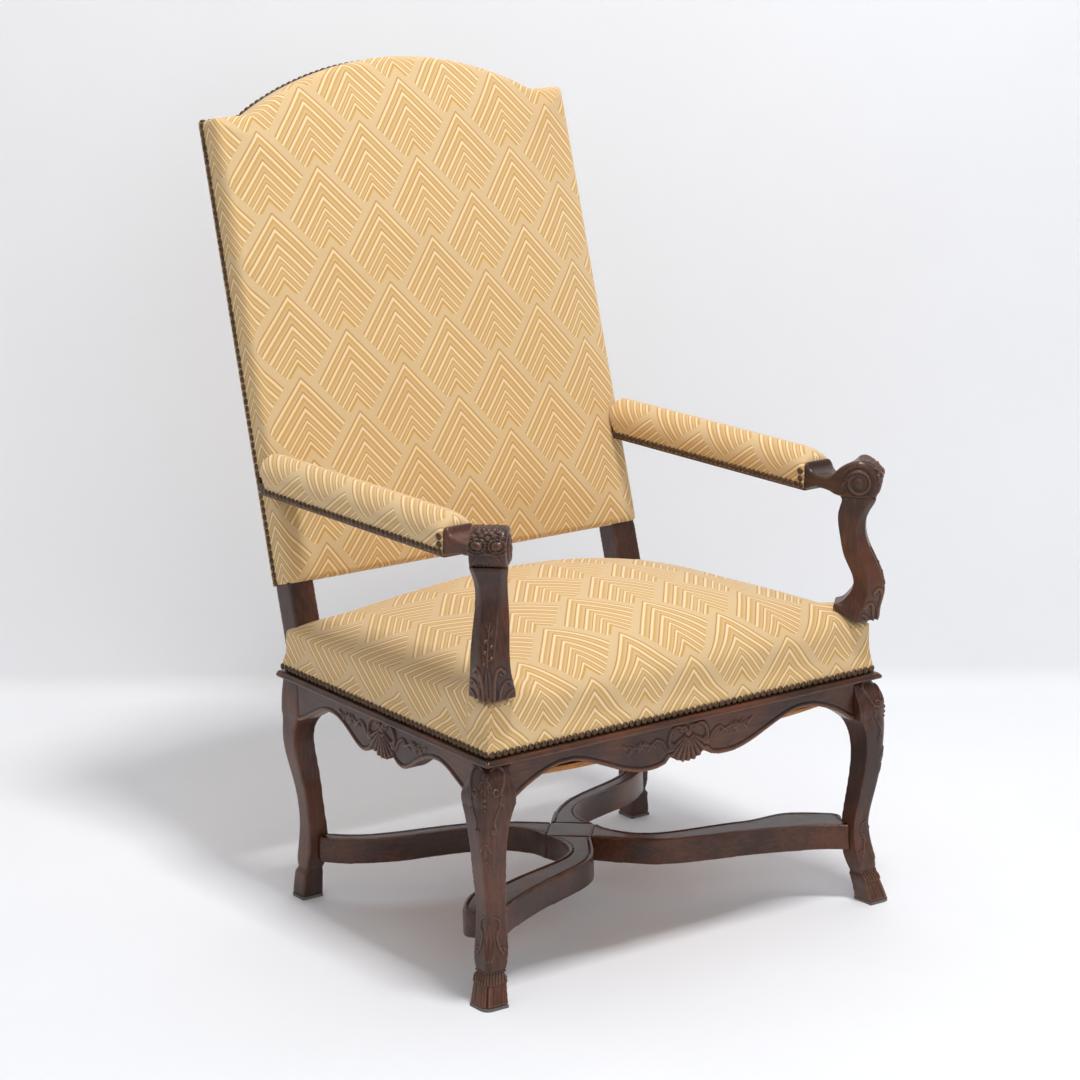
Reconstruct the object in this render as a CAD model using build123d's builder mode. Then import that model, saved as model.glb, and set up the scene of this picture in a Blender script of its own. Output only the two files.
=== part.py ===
from build123d import *
import math
import os

# An open armchair with a high raked back, cabriole legs and a crossed stretcher.
# Millimetres, +Z up. The origin is on the floor under the middle of the chair's box.
# The front faces -Y. Left and right are as seen from the front, so right is +X.

# Seat frame
seat_front_width = 680.0  # over the moulding, at its front corners
seat_back_width = 656.0  # over the moulding, at its back ends
seat_depth = 535.0  # over the moulding, front edge to back ends
rail_top = 338.0
rail_thick = 28.0
rail_end_high = 66.0  # aprons' height where they meet the legs
back_rail_high = 50.0
back_rail_inset = 4.0  # back rail's rear face from the moulding's back ends
moulding_reach = 11.0  # from the rails' faces outwards
moulding_high = 8.5
moulding_nose = 6.0  # height of its round nose
moulding_lip = 8.0  # from the rails' faces to the cove over the nose
block_side = 64.0  # corner blocks, along each rail
block_thick = 16.0
block_drop = 2.0  # corner blocks' top below the rail top

# Aprons' lower edges: along the rail from its middle, and down from the rail top
front_edge = ((232.0, 32.0), (206.0, 27.5), (153.0, 40.0), (112.0, 57.0), (75.0, 66.0), (39.0, 62.0))
side_edge = ((176.0, 45.0), (134.0, 32.0), (107.0, 38.0), (84.0, 50.0), (58.0, 64.0), (31.0, 59.0))
front_cusp = (30.0, 53.0)
side_cusp = (23.0, 52.0)
shell_drop = 65.0  # carved shells' lowest point below the rail top

# Legs: inner and outer faces are measured along both sides from a corner point
leg_corner_in = 10.0  # front corner point inside the moulding's half width
leg_corner_back = 14.0  # front corner point behind the moulding's front edge
stile_corner_x = 316.0  # back corner point from the middle
stile_past = 2.0  # back corner point behind the moulding's back ends
front_block = 34.0
back_block = 45.0
knee_drop = 62.0  # knees' lower end below the rail top
hoof_top = 44.0
pad_thick = 4.0
front_ankle = 28.5  # inner face at the stretcher, inside the corner point
back_ankle = 44.0

# Legs' curves: share of the height from hoof to knee, inner face, outer face, nose radius
front_curve = (
    (1.0, -front_block, 18.0, 18.0),
    (0.91, -24.0, 19.0, 18.0),
    (0.67, -20.5, 13.5, 10.0),
    (0.46, -25.0, 5.5, 7.0),
    (0.28, -front_ankle, 1.5, 7.0),
    (0.13, -27.0, 6.0, 7.0),
    (0.0, -19.0, 8.0, 6.0),
)
back_curve = (
    (1.0, -back_block, 3.5, 6.0),
    (0.91, -33.5, 2.5, 5.0),
    (0.67, -35.2, -2.2, 5.0),
    (0.52, -38.3, -8.3, 5.0),
    (0.33, -41.5, -12.0, 5.0),
    (0.18, -back_ankle, -11.0, 5.0),
    (0.07, -42.0, -9.0, 5.0),
    (0.0, -37.0, -10.0, 5.0),
)
# Knees: share of the drop from the moulding's underside, outer face, nose radius
front_knee = ((0.0, -2.0, 5.0), (0.28, 10.0, 12.0), (0.59, 17.0, 17.0), (1.0, 18.0, 18.0))
back_knee = ((0.0, 0.0, 5.0), (0.59, 3.0, 6.0), (1.0, 3.5, 6.0))
# Hoofs: share of the height from the pad, inner face, outer face, nose radius
front_hoof = (
    (1.0, -19.0, 8.0, 6.0),
    (0.85, -19.5, 12.0, 8.0),
    (0.4, -16.0, 18.0, 10.0),
    (0.0, -14.0, 23.0, 12.0),
)
back_hoof = (
    (1.0, -37.0, -10.0, 5.0),
    (0.85, -37.5, -6.0, 6.0),
    (0.4, -37.0, -4.0, 7.0),
    (0.0, -36.0, -2.5, 8.0),
)

# Back
back_rake = 15.4  # degrees from upright
back_low = 459.0  # height of its lower edge, at mid thickness
back_set = 11.0  # its mid plane there, behind the moulding's back ends
stile_depth = 40.0  # front to back, level
stile_inner = 266.0  # stiles' inner faces from the middle
back_low_half = 306.0  # half widths over the frame
back_top_half = 300.0
shoulder_rise = 658.0  # shoulders above the lower edge, along the rake
crest_half = 246.0  # arch, from the middle to where it leaves the shoulders
crest_rise = 724.0
crest_low = 588.0  # crest rail's lower edge
low_rail_high = 55.0
low_rail_start = 1.0

# Arms
arm_middle = 306.0  # arm's centre line from the middle of the chair
arm_width = 44.0
arm_low = 588.0
arm_thick = 16.0
collar_front = 84.0  # behind the moulding's front edge
collar_long = 12.0
collar_width = 52.0
collar_top = 643.0
neck_width = 48.0
neck_low = 594.0
neck_top = 638.0
neck_set = 14.0  # where the neck enters the scroll, inwards from the support's axis
scroll_width = 54.0
scroll_radius = 35.0
scroll_rise = 26.0  # scroll's centre above the arm's underside
scroll_forward = 6.0  # scroll's centre outwards from the support's axis
eye_radius = 11.0
eye_proud = 3.0

# Arm supports stand on the front corners, with their noses on the diagonal
support_in = 32.0  # axis inside the moulding's half width
support_y = 28.0  # axis, behind the moulding's front edge
support_low = 415.0
support_flank = 0.62  # back face's share of the width
# Share of the support's height, back face, nose, half width, nose's half width
support_curve = (
    (0.0, -28.0, 33.0, 31.0, 7.0),
    (0.1, -25.0, 35.0, 30.0, 7.0),
    (0.2, -11.0, 39.0, 28.0, 8.0),
    (0.32, 0.0, 41.0, 26.5, 8.0),
    (0.45, -6.0, 35.0, 25.5, 9.0),
    (0.6, -16.0, 23.0, 24.0, 10.0),
    (0.76, -21.0, 15.0, 22.0, 11.0),
    (0.88, -22.0, 19.0, 22.5, 14.0),
    (1.0, -20.0, 29.0, 26.0, 20.0),
)

# Stretcher: its top leans back a little
stretcher_lean = 2.67
stretcher_middle = 280.0  # centre, behind the moulding's front edge
stretcher_top_high = 102.0
stretcher_thick = 36.0
centre_half_x = 44.0
centre_half_y = 48.0
foot_set = 13.0  # how far its ends are let into the legs
# Edges of its right arms, from the centre: across, and towards the front or back
front_arm_near = ((24.0, 85.0), (65.0, 133.0), (124.0, 160.0), (215.0, 197.0))
front_arm_far = ((270.0, 175.0), (199.0, 133.0), (115.0, 109.0), (70.0, 88.0), (45.0, 45.0))
back_arm_near = ((28.0, 80.0), (67.0, 113.0), (124.0, 142.0), (201.0, 168.0))
back_arm_far = ((250.0, 163.0), (190.0, 131.0), (115.0, 107.0), (75.0, 85.0), (47.0, 45.0))

# Joints
play = 0.15  # round tenons and dowels
tenon_thick = 10.0
tenon_long = 18.0
tenon_high = 34.0
tenon_drop = 44.0  # rail tenons' middle below the rail top
front_tenon_in = 11.0  # tenons' middle from the outer face of the rail
support_tenon = 18.0
support_tenon_deep = 24.0  # into the leg
dowel_radius = 8.0
dowel_long = 18.0
arm_tenon_width = 14.0
arm_tenon_high = 9.0
arm_tenon_x = 295.0
foot_tenon_width = 12.0
foot_tenon_high = 20.0
foot_tenon_long = 10.0
centre_tenon_width = 24.0
centre_tenon_high = 12.0
centre_tenon_long = 14.0
crest_tenon_width = 20.0
crest_tenon_thick = 14.0
crest_tenon_long = 40.0

# Upholstery
cover_thick = 2.0
soft_gap = 0.3  # between soft pieces and what they cover
cut_gap = 1.5  # round the stiles, supports and arms
seat_shoulder = 20.0
seat_edge = 77.0  # seat's side edges above the rail top
seat_peak = 139.0  # seat's crown above the rail top
seat_front_edge = 70.0  # seat's front and rear faces above the rail top
seat_crown_power = 2.6  # the higher, the flatter the crown
edge_quickness = 4.0  # how soon the seat's edge comes up behind its front face
crown_least = 1.0  # arch over the crowned forms' ends
crown_spare = 3.0  # back's crowned form above its outline, where it is cut
# Stations of the crowned forms, closer together near the ends
crown_shares = (0.0, 0.02, 0.05, 0.1, 0.2, 0.35, 0.5, 0.65, 0.8, 0.9, 0.95, 0.98, 1.0)
border_set = 4.0  # stuffing's rear face, ahead of the moulding's back ends
roll_front = 33.0  # stuffing on the rails, front to back at the front
roll_back = 40.0
roll_side = 45.0
spring_room = 60.0  # underside of the stuffing over the springs, above the rail top
canvas_thick = 1.5
web_width = 50.0
web_thick = 2.0
web_drop = 24.5  # seat webbing's underside below the rail top
web_count = 5
web_pitch = 105.0
spring_radius = 36.0
spring_wire = 3.6
spring_turns = 4
spring_pitch_x = 150.0
spring_pitch_y = 140.0
cloth_thick = 1.5
cloth_sag = 76.0  # bottom cloth's lowest point below the rail top
cloth_radius = 1300.0
back_shoulder = 8.0
back_edge = 12.0  # back's side edges in front of the frame
back_peak = 34.0  # back's crown in front of the frame
back_crown_power = 2.6
back_web_thick = 1.2
back_web_count = 4
back_web_pitch_x = 120.0
back_web_pitch_v = 140.0
back_web_low = 100.0
back_web_lap = 26.0  # webbing on the rails and stiles
pad_gap_back = 7.0  # arm pads' rear end from the back's edge
pad_side = 34.0  # pad's straight side above the arm's underside
pad_bulge = 4.0  # pad's half width beyond the arm
# Arm pad's crown above the arm's underside: distance from its front end, top
pad_crown = ((0.0, 51.0), (40.0, 58.0), (500.0, 58.0))
skirt_low = 2.0  # arm cover's lower edge above the arm's underside

# Nails
nail_radius = 4.6
nail_high = 3.0
nail_pitch = 10.2
nail_edge = 6.0  # from a cover's edge to the middle of the nails
nail_lift = 0.1  # heads above the cloth

half_root = math.sqrt(0.5)
sin_rake = math.sin(math.radians(back_rake))
cos_rake = math.cos(math.radians(back_rake))
frame_half = stile_depth / 2 * cos_rake
cover_grow = soft_gap + cover_thick
stile_corner_y = seat_depth + stile_past
back_foot = seat_depth + back_set
border_back = seat_depth - border_set
back_rise = max(crest_rise, shoulder_rise)
cut_reach = back_rise  # cutting shapes run this far past the work
support_x = seat_front_width / 2 - support_in
rear_reach = back_foot + (back_rise + cover_grow) * sin_rake + (frame_half + cover_thick) * cos_rake
scroll_reach = (scroll_forward + scroll_radius + scroll_width / 2) * half_root - support_y
front = (scroll_reach - rear_reach) / 2
outward = Vector(half_root, -half_root, 0)
sideways = Vector(half_root, half_root, 0)


def rail_half(y):
    """Half width over the side rails' outer faces at a distance behind the front edge."""
    narrowing = (seat_front_width - seat_back_width) / 2 / seat_depth
    return seat_front_width / 2 - moulding_reach - narrowing * (y - moulding_reach)


def rectangle_on(plane, width, height):
    """Rectangle centred on a plane."""
    with BuildSketch(plane) as outline:
        Rectangle(width, height)
    return outline.sketch


def flat_outline(points, height):
    """Level outline through points in plan."""
    with BuildSketch(Plane.XY.offset(height)) as outline:
        with BuildLine():
            Polyline(*points, close=True)
        make_face()
    return outline.sketch


def twin(piece):
    """The same piece on the other side of the chair."""
    with BuildPart() as copy:
        mirror(piece.part, about=Plane.YZ)
    return copy


def corner_section(height, corner, ahead, inner, outer, nose):
    """Leg's level section: a square on the corner's diagonal with a rounded nose."""

    def at(across, along):
        return (corner[0] + across, corner[1] + ahead * along)

    middle = outer - nose + nose * half_root
    with BuildSketch(Plane.XY.offset(height)) as section:
        with BuildLine():
            Polyline(
                at(outer - nose, outer),
                at(inner, outer),
                at(inner, inner),
                at(outer, inner),
                at(outer, outer - nose),
            )
            ThreePointArc(at(outer, outer - nose), at(middle, middle), at(outer - nose, outer))
        make_face()
    return section.sketch


def domed_section(plane, half_width, base, edge, crown, shoulder):
    """Cushion's section: flat base, straight sides, round shoulders and an arched top."""
    bend = shoulder * (1 - half_root)
    side = edge - shoulder
    inner = half_width - shoulder
    turn = half_width - bend
    with BuildSketch(plane) as section:
        with BuildLine():
            Polyline((-half_width, side), (-half_width, base), (half_width, base), (half_width, side))
            ThreePointArc((half_width, side), (turn, edge - bend), (inner, edge))
            ThreePointArc((inner, edge), (0, crown), (-inner, edge))
            ThreePointArc((-inner, edge), (-turn, edge - bend), (-half_width, side))
        make_face()
    return section.sketch


# Back's own frame: across, up the rake from the lower edge, and forward from mid thickness
def back_point(across, rise, forward):
    return Vector(
        across,
        front + back_foot + rise * sin_rake - forward * cos_rake,
        back_low + rise * cos_rake + forward * sin_rake,
    )


def back_plane(forward):
    """Plane of the back, facing forward."""
    return Plane(origin=back_point(0, 0, forward), x_dir=(1, 0, 0), z_dir=(0, -cos_rake, sin_rake))


def back_level(rise):
    """Plane across the back, facing down the rake."""
    return Plane(origin=back_point(0, rise, 0), x_dir=(1, 0, 0), z_dir=(0, -sin_rake, -cos_rake))


def back_side(rise):
    """Half width over the frame at a height up the rake."""
    return back_low_half + (back_top_half - back_low_half) * rise / shoulder_rise


def back_outline(forward, grow, low):
    """The back's outline, grown all round, with its lower edge at a height up the rake."""
    top = shoulder_rise + grow
    with BuildSketch(back_plane(forward)) as outline:
        with BuildLine():
            Polyline(
                (-crest_half, top),
                (-back_top_half - grow, top),
                (-back_side(low) - grow, low),
                (back_side(low) + grow, low),
                (back_top_half + grow, top),
                (crest_half, top),
            )
            ThreePointArc((crest_half, top), (0, crest_rise + grow), (-crest_half, top))
        make_face()
    return outline.sketch


# Places where the stretcher's ends enter the legs and its centre block
stretcher_top = Plane(
    origin=(0, front + stretcher_middle, stretcher_top_high),
    x_dir=(1, 0, 0),
    z_dir=(0, math.sin(math.radians(stretcher_lean)), math.cos(math.radians(stretcher_lean))),
)


def stretcher_seat(across, along, toward):
    """Plane at mid thickness of the stretcher, facing a direction in its own plane."""
    place = Vector(across, along, -stretcher_thick / 2)
    here = stretcher_top.from_local_coords(place)
    ahead = stretcher_top.from_local_coords(place + Vector(toward[0], toward[1], 0))
    beside = stretcher_top.from_local_coords(place + Vector(-toward[1], toward[0], 0))
    return Plane(origin=here, x_dir=beside - here, z_dir=ahead - here)


front_corner = (seat_front_width / 2 - leg_corner_in, front + leg_corner_back)
back_corner = (stile_corner_x, front + stile_corner_y)
front_foot = (
    front_corner[0] - front_ankle + foot_set * half_root,
    leg_corner_back + front_ankle - foot_set * half_root - stretcher_middle,
)
back_foot_end = (
    back_corner[0] - back_ankle + foot_set * half_root,
    stile_corner_y - back_ankle + foot_set * half_root - stretcher_middle,
)
front_foot_seat = stretcher_seat(*front_foot, (half_root, -half_root))
back_foot_seat = stretcher_seat(*back_foot_end, (half_root, half_root))

# Places of the rails' tenons on the right
front_rail_seat = Plane(
    origin=(
        front_corner[0] - front_block,
        front + moulding_reach + front_tenon_in,
        rail_top - tenon_drop,
    ),
    x_dir=(0, 1, 0),
    z_dir=(1, 0, 0),
)
side_front_y = leg_corner_back + front_block
side_front_seat = Plane(
    origin=(rail_half(side_front_y) - rail_thick / 2, front + side_front_y, rail_top - tenon_drop),
    x_dir=(1, 0, 0),
    z_dir=(0, -1, 0),
)
side_back_y = stile_corner_y - back_block
side_back_seat = Plane(
    origin=(rail_half(side_back_y) - rail_thick / 2, front + side_back_y, rail_top - tenon_drop),
    x_dir=(-1, 0, 0),
    z_dir=(0, 1, 0),
)
back_rail_rear = seat_depth - back_rail_inset
back_rail_seat = Plane(
    origin=(
        stile_corner_x - back_block,
        front + back_rail_rear - rail_thick / 2,
        rail_top - back_rail_high / 2,
    ),
    x_dir=(0, 1, 0),
    z_dir=(1, 0, 0),
)
back_tenon_high = back_rail_high - tenon_thick
support_tenon_at = (front_corner[0] - front_block / 2, front_corner[1] + front_block / 2)
low_rail_seat = Plane(
    origin=back_point(stile_inner, low_rail_start + low_rail_high / 2, 0),
    x_dir=(0, cos_rake, -sin_rake),
    z_dir=(1, 0, 0),
)
crest_seat = Plane(
    origin=back_point((stile_inner + back_top_half) / 2, crest_low, 0),
    x_dir=(1, 0, 0),
    z_dir=(0, sin_rake, cos_rake),
)
arm_middle_high = arm_low + arm_thick / 2
arm_rise = (arm_middle_high - back_low - frame_half * sin_rake) / cos_rake
arm_seat = Plane(
    origin=back_point(arm_tenon_x, arm_rise, frame_half),
    x_dir=(1, 0, 0),
    z_dir=(0, cos_rake, -sin_rake),
)


def leg_sections(curve, corner, ahead):
    """Sections of a leg's curve from the knee down to the hoof."""
    low = rail_top - knee_drop
    return [
        corner_section(hoof_top + share * (low - hoof_top), corner, ahead, inner, outer, nose)
        for share, inner, outer, nose in curve
    ]


def knee_sections(knee, block, corner, ahead):
    """Sections of a leg's knee from under the moulding down to its curve."""
    high = rail_top - moulding_high
    return [
        corner_section(high - share * (knee_drop - moulding_high), corner, ahead, -block, outer, nose)
        for share, outer, nose in knee
    ]


def hoof_sections(hoof, corner, ahead):
    """Sections of a hoof from its collar down to the felt pad."""
    return [
        corner_section(pad_thick + share * (hoof_top - pad_thick), corner, ahead, inner, outer, nose)
        for share, inner, outer, nose in hoof
    ]


# Front legs
with BuildPart() as front_leg_right:
    knee_top = corner_section(
        rail_top - moulding_high, front_corner, -1, -front_block, front_knee[0][1], front_knee[0][2]
    )
    extrude(knee_top, amount=moulding_high)
    loft(knee_sections(front_knee, front_block, front_corner, -1))
    loft(leg_sections(front_curve, front_corner, -1))
    loft(hoof_sections(front_hoof, front_corner, -1), ruled=True)
    extrude(
        rectangle_on(front_rail_seat, tenon_thick + 2 * play, tenon_high + 2 * play),
        amount=tenon_long + play,
        mode=Mode.SUBTRACT,
    )
    extrude(
        rectangle_on(side_front_seat, tenon_thick + 2 * play, tenon_high + 2 * play),
        amount=tenon_long + play,
        mode=Mode.SUBTRACT,
    )
    support_mortise = Plane(origin=(*support_tenon_at, rail_top))
    extrude(
        rectangle_on(support_mortise, support_tenon + 2 * play, support_tenon + 2 * play),
        amount=-support_tenon_deep - play,
        mode=Mode.SUBTRACT,
    )
    extrude(
        rectangle_on(front_foot_seat, 2 * front_ankle, stretcher_thick + 2 * play),
        amount=-front_ankle,
        mode=Mode.SUBTRACT,
    )
    extrude(
        rectangle_on(front_foot_seat, foot_tenon_width + 2 * play, foot_tenon_high + 2 * play),
        amount=foot_tenon_long + play,
        mode=Mode.SUBTRACT,
    )
front_leg_left = twin(front_leg_right)

# Back legs, each in one piece with its stile
with BuildPart() as back_leg_right:
    knee_top = corner_section(
        rail_top - moulding_high, back_corner, 1, -back_block, back_knee[0][1], back_knee[0][2]
    )
    extrude(knee_top, amount=moulding_high)
    loft(knee_sections(back_knee, back_block, back_corner, 1))
    loft(leg_sections(back_curve, back_corner, 1))
    loft(hoof_sections(back_hoof, back_corner, 1), ruled=True)
    stile_sections = []
    for stile_high in (rail_top, back_low + (crest_low + stile_depth) * cos_rake):
        stile_rise = (stile_high - back_low) / cos_rake
        stile_outer = back_side(stile_rise)
        stile_middle = front + back_foot + stile_rise * sin_rake
        stile_sections.append(
            rectangle_on(
                Plane(origin=((stile_inner + stile_outer) / 2, stile_middle, stile_high)),
                stile_outer - stile_inner,
                stile_depth,
            )
        )
    loft(stile_sections, ruled=True)
    split(bisect_by=back_level(crest_low), keep=Keep.TOP)
    extrude(rectangle_on(crest_seat, crest_tenon_width, crest_tenon_thick), amount=crest_tenon_long)
    extrude(
        rectangle_on(side_back_seat, tenon_thick + 2 * play, tenon_high + 2 * play),
        amount=tenon_long + play,
        mode=Mode.SUBTRACT,
    )
    extrude(
        rectangle_on(back_rail_seat, tenon_thick + 2 * play, back_tenon_high + 2 * play),
        amount=tenon_long + play,
        mode=Mode.SUBTRACT,
    )
    extrude(
        rectangle_on(low_rail_seat, tenon_thick + 2 * play, tenon_high + 2 * play),
        amount=tenon_long + play,
        mode=Mode.SUBTRACT,
    )
    extrude(
        rectangle_on(arm_seat, arm_tenon_width + 2 * play, arm_tenon_high + 2 * play),
        amount=tenon_long + play,
        mode=Mode.SUBTRACT,
    )
    extrude(
        rectangle_on(back_foot_seat, 2 * front_ankle, stretcher_thick + 2 * play),
        amount=-front_ankle,
        mode=Mode.SUBTRACT,
    )
    extrude(
        rectangle_on(back_foot_seat, foot_tenon_width + 2 * play, foot_tenon_high + 2 * play),
        amount=foot_tenon_long + play,
        mode=Mode.SUBTRACT,
    )
back_leg_left = twin(back_leg_right)

# Felt pads under the hoofs
with BuildPart() as felt_pads:
    for hoof, corner, ahead in ((front_hoof, front_corner, -1), (back_hoof, back_corner, 1)):
        _, inner, outer, nose = hoof[-1]
        sole = corner_section(0, corner, ahead, inner, outer, nose)
        extrude(sole, amount=pad_thick)
    mirror(about=Plane.YZ)


def half_apron(plane, half, edge, cusp):
    """Half of an apron's face: along the rail, down at its end and back along the scallops."""
    end = (half, rail_top - rail_end_high)
    shell_low = (0, rail_top - shell_drop)
    shell_side = (cusp[0], rail_top - cusp[1])
    scallops = [(along, rail_top - drop) for along, drop in edge]
    with BuildSketch(plane) as face:
        with BuildLine():
            Polyline(shell_low, (0, rail_top), (half, rail_top), end)
            Spline(end, *scallops)
            Line(scallops[-1], shell_side)
            TangentArc(shell_low, shell_side, tangent=(1, 0))
        make_face()
    return face.sketch


# Front apron with its scalloped edge and carved shell
apron_half = front_corner[0] - front_block
with BuildPart() as front_apron:
    front_face = Plane.XZ.offset(-front - moulding_reach)
    extrude(half_apron(front_face, apron_half, front_edge, front_cusp), amount=-rail_thick)
    extrude(rectangle_on(front_rail_seat, tenon_thick, tenon_high), amount=tenon_long)
    mirror(about=Plane.YZ)

# Side aprons
side_middle = (side_front_y + side_back_y) / 2
side_half = (side_back_y - side_front_y) / 2
with BuildPart() as side_scallops:
    side_face = Plane(origin=(0, front + side_middle, 0), x_dir=(0, 1, 0), z_dir=(1, 0, 0))
    extrude(half_apron(side_face, side_half, side_edge, side_cusp), amount=seat_front_width)
    mirror(about=Plane.XZ.offset(-front - side_middle))

with BuildPart() as side_apron_right:
    plan = [
        (rail_half(side_front_y), front + side_front_y),
        (rail_half(side_back_y), front + side_back_y),
        (rail_half(side_back_y) - rail_thick, front + side_back_y),
        (rail_half(side_front_y) - rail_thick, front + side_front_y),
    ]
    extrude(flat_outline(plan, rail_top), amount=-rail_end_high - rail_thick)
    add(side_scallops.part, mode=Mode.INTERSECT)
    extrude(rectangle_on(side_front_seat, tenon_thick, tenon_high), amount=tenon_long)
    extrude(rectangle_on(side_back_seat, tenon_thick, tenon_high), amount=tenon_long)
side_apron_left = twin(side_apron_right)

# Back seat rail
with BuildPart() as back_seat_rail:
    back_rail_half = stile_corner_x - back_block
    with BuildSketch(Plane.XY.offset(rail_top)):
        with Locations((0, front + back_rail_rear - rail_thick / 2)):
            Rectangle(2 * back_rail_half, rail_thick)
    extrude(amount=-back_rail_high)
    extrude(rectangle_on(back_rail_seat, tenon_thick, back_tenon_high), amount=tenon_long)
    mirror(about=Plane.YZ)


def moulding_profile(plane):
    """Moulding's section: a round nose below, a cove and a fillet above."""
    low = rail_top - moulding_high
    nose = low + moulding_nose
    lip = moulding_lip
    with BuildSketch(plane) as profile:
        with BuildLine():
            Polyline((lip, low), (0, low), (0, rail_top), (lip, rail_top), (lip, nose))
            ThreePointArc((lip, nose), (moulding_reach, (low + nose) / 2), (lip, low))
        make_face()
    return profile.sketch


# Seat moulding: three strips, mitred at the front corners
moulding_corner = Vector(rail_half(moulding_reach), front + moulding_reach, 0)
mitre = Plane(origin=moulding_corner, z_dir=(half_root, half_root, 0))
left_mitre = Plane(origin=(-moulding_corner.X, moulding_corner.Y, 0), z_dir=(-half_root, half_root, 0))
with BuildPart() as front_moulding:
    front_strip = Plane(origin=(0, front + moulding_reach, 0), x_dir=(0, -1, 0), z_dir=(-1, 0, 0))
    extrude(moulding_profile(front_strip), amount=seat_front_width, both=True)
    split(bisect_by=mitre, keep=Keep.BOTTOM)
    split(bisect_by=left_mitre, keep=Keep.BOTTOM)

with BuildPart() as side_moulding_right:
    along_rail = Vector(rail_half(seat_depth), front + seat_depth, 0) - moulding_corner
    side_strip = Plane(
        origin=moulding_corner,
        x_dir=(along_rail.Y, -along_rail.X, 0),
        z_dir=(-along_rail.X, -along_rail.Y, 0),
    )
    extrude(moulding_profile(side_strip), amount=2 * seat_depth, both=True)
    split(bisect_by=mitre, keep=Keep.TOP)
    split(bisect_by=Plane.XZ.offset(-front - seat_depth), keep=Keep.TOP)
side_moulding_left = twin(side_moulding_right)

# Corner blocks glued inside the seat frame
with BuildPart() as corner_blocks:
    block_top = rail_top - block_drop
    front_inside = moulding_reach + rail_thick
    front_near = side_front_y + block_side
    front_block_plan = [
        (apron_half, front + front_inside),
        (apron_half - block_side, front + front_inside),
        (rail_half(front_near) - rail_thick, front + front_near),
        (rail_half(side_front_y) - rail_thick, front + side_front_y),
        (apron_half, front + side_front_y),
    ]
    extrude(flat_outline(front_block_plan, block_top), amount=-block_thick)
    back_inside = back_rail_rear - rail_thick
    back_near = side_back_y - block_side
    back_block_plan = [
        (back_rail_half, front + back_inside),
        (back_rail_half - block_side, front + back_inside),
        (rail_half(back_near) - rail_thick, front + back_near),
        (rail_half(side_back_y) - rail_thick, front + side_back_y),
        (back_rail_half, front + side_back_y),
    ]
    extrude(flat_outline(back_block_plan, block_top), amount=-block_thick)
    mirror(about=Plane.YZ)

# Crest rail and lower back rail
with BuildPart() as crest_rail:
    extrude(back_outline(0, 0, crest_low), amount=frame_half, both=True)
    extrude(
        rectangle_on(crest_seat, crest_tenon_width + 2 * play, crest_tenon_thick + 2 * play),
        amount=crest_tenon_long + play,
        mode=Mode.SUBTRACT,
    )
    left_crest_seat = Plane(
        origin=back_point(-(stile_inner + back_top_half) / 2, crest_low, 0),
        x_dir=(1, 0, 0),
        z_dir=(0, sin_rake, cos_rake),
    )
    extrude(
        rectangle_on(left_crest_seat, crest_tenon_width + 2 * play, crest_tenon_thick + 2 * play),
        amount=crest_tenon_long + play,
        mode=Mode.SUBTRACT,
    )

with BuildPart() as lower_back_rail:
    with BuildSketch(back_plane(0)):
        with Locations((0, low_rail_start + low_rail_high / 2)):
            Rectangle(2 * stile_inner, low_rail_high)
    extrude(amount=frame_half, both=True)
    extrude(rectangle_on(low_rail_seat, tenon_thick, tenon_high), amount=tenon_long)
    mirror(about=Plane.YZ)

# Arms: rail, collar, neck and scroll
scroll_middle = Vector(support_x, front + support_y, arm_low + scroll_rise) + outward * scroll_forward
dowel_at = Vector(support_x, front + support_y, arm_low)
with BuildPart() as arm_right:
    arm_end = front + back_foot + cut_reach
    arm_start = front + collar_front + collar_long / 2
    with BuildSketch(Plane.XY.offset(arm_low)):
        with Locations((arm_middle, (arm_start + arm_end) / 2)):
            Rectangle(arm_width, arm_end - arm_start)
    extrude(amount=arm_thick)
    split(bisect_by=back_plane(frame_half), keep=Keep.TOP)
    extrude(rectangle_on(arm_seat, arm_tenon_width, arm_tenon_high), amount=tenon_long)
    with BuildSketch(Plane.XY.offset(arm_low)):
        with Locations((arm_middle, front + collar_front + collar_long / 2)):
            Rectangle(collar_width, collar_long)
    extrude(amount=collar_top - arm_low)
    neck_middle = (neck_low + neck_top) / 2
    neck_back = Plane(
        origin=(arm_middle, front + collar_front, neck_middle), x_dir=(1, 0, 0), z_dir=(0, -1, 0)
    )
    neck_point = Vector(support_x, front + support_y, neck_middle) - outward * neck_set
    neck_front = Plane(origin=neck_point, x_dir=sideways, z_dir=outward)
    loft(
        [
            rectangle_on(neck_back, neck_width, neck_top - neck_low),
            rectangle_on(neck_front, scroll_width, neck_top - neck_low),
        ],
        ruled=True,
    )
    scroll_plane = Plane(origin=scroll_middle, x_dir=outward, z_dir=sideways)
    with BuildSketch(scroll_plane):
        Circle(scroll_radius)
    extrude(amount=scroll_width / 2, both=True)
    with BuildSketch(scroll_plane):
        Circle(eye_radius)
    extrude(amount=scroll_width / 2 + eye_proud, both=True)
    split(bisect_by=Plane.XY.offset(arm_low), keep=Keep.TOP)
    with BuildSketch(Plane(origin=dowel_at)):
        Circle(dowel_radius + play)
    extrude(amount=dowel_long + play, mode=Mode.SUBTRACT)
arm_left = twin(arm_right)


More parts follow.
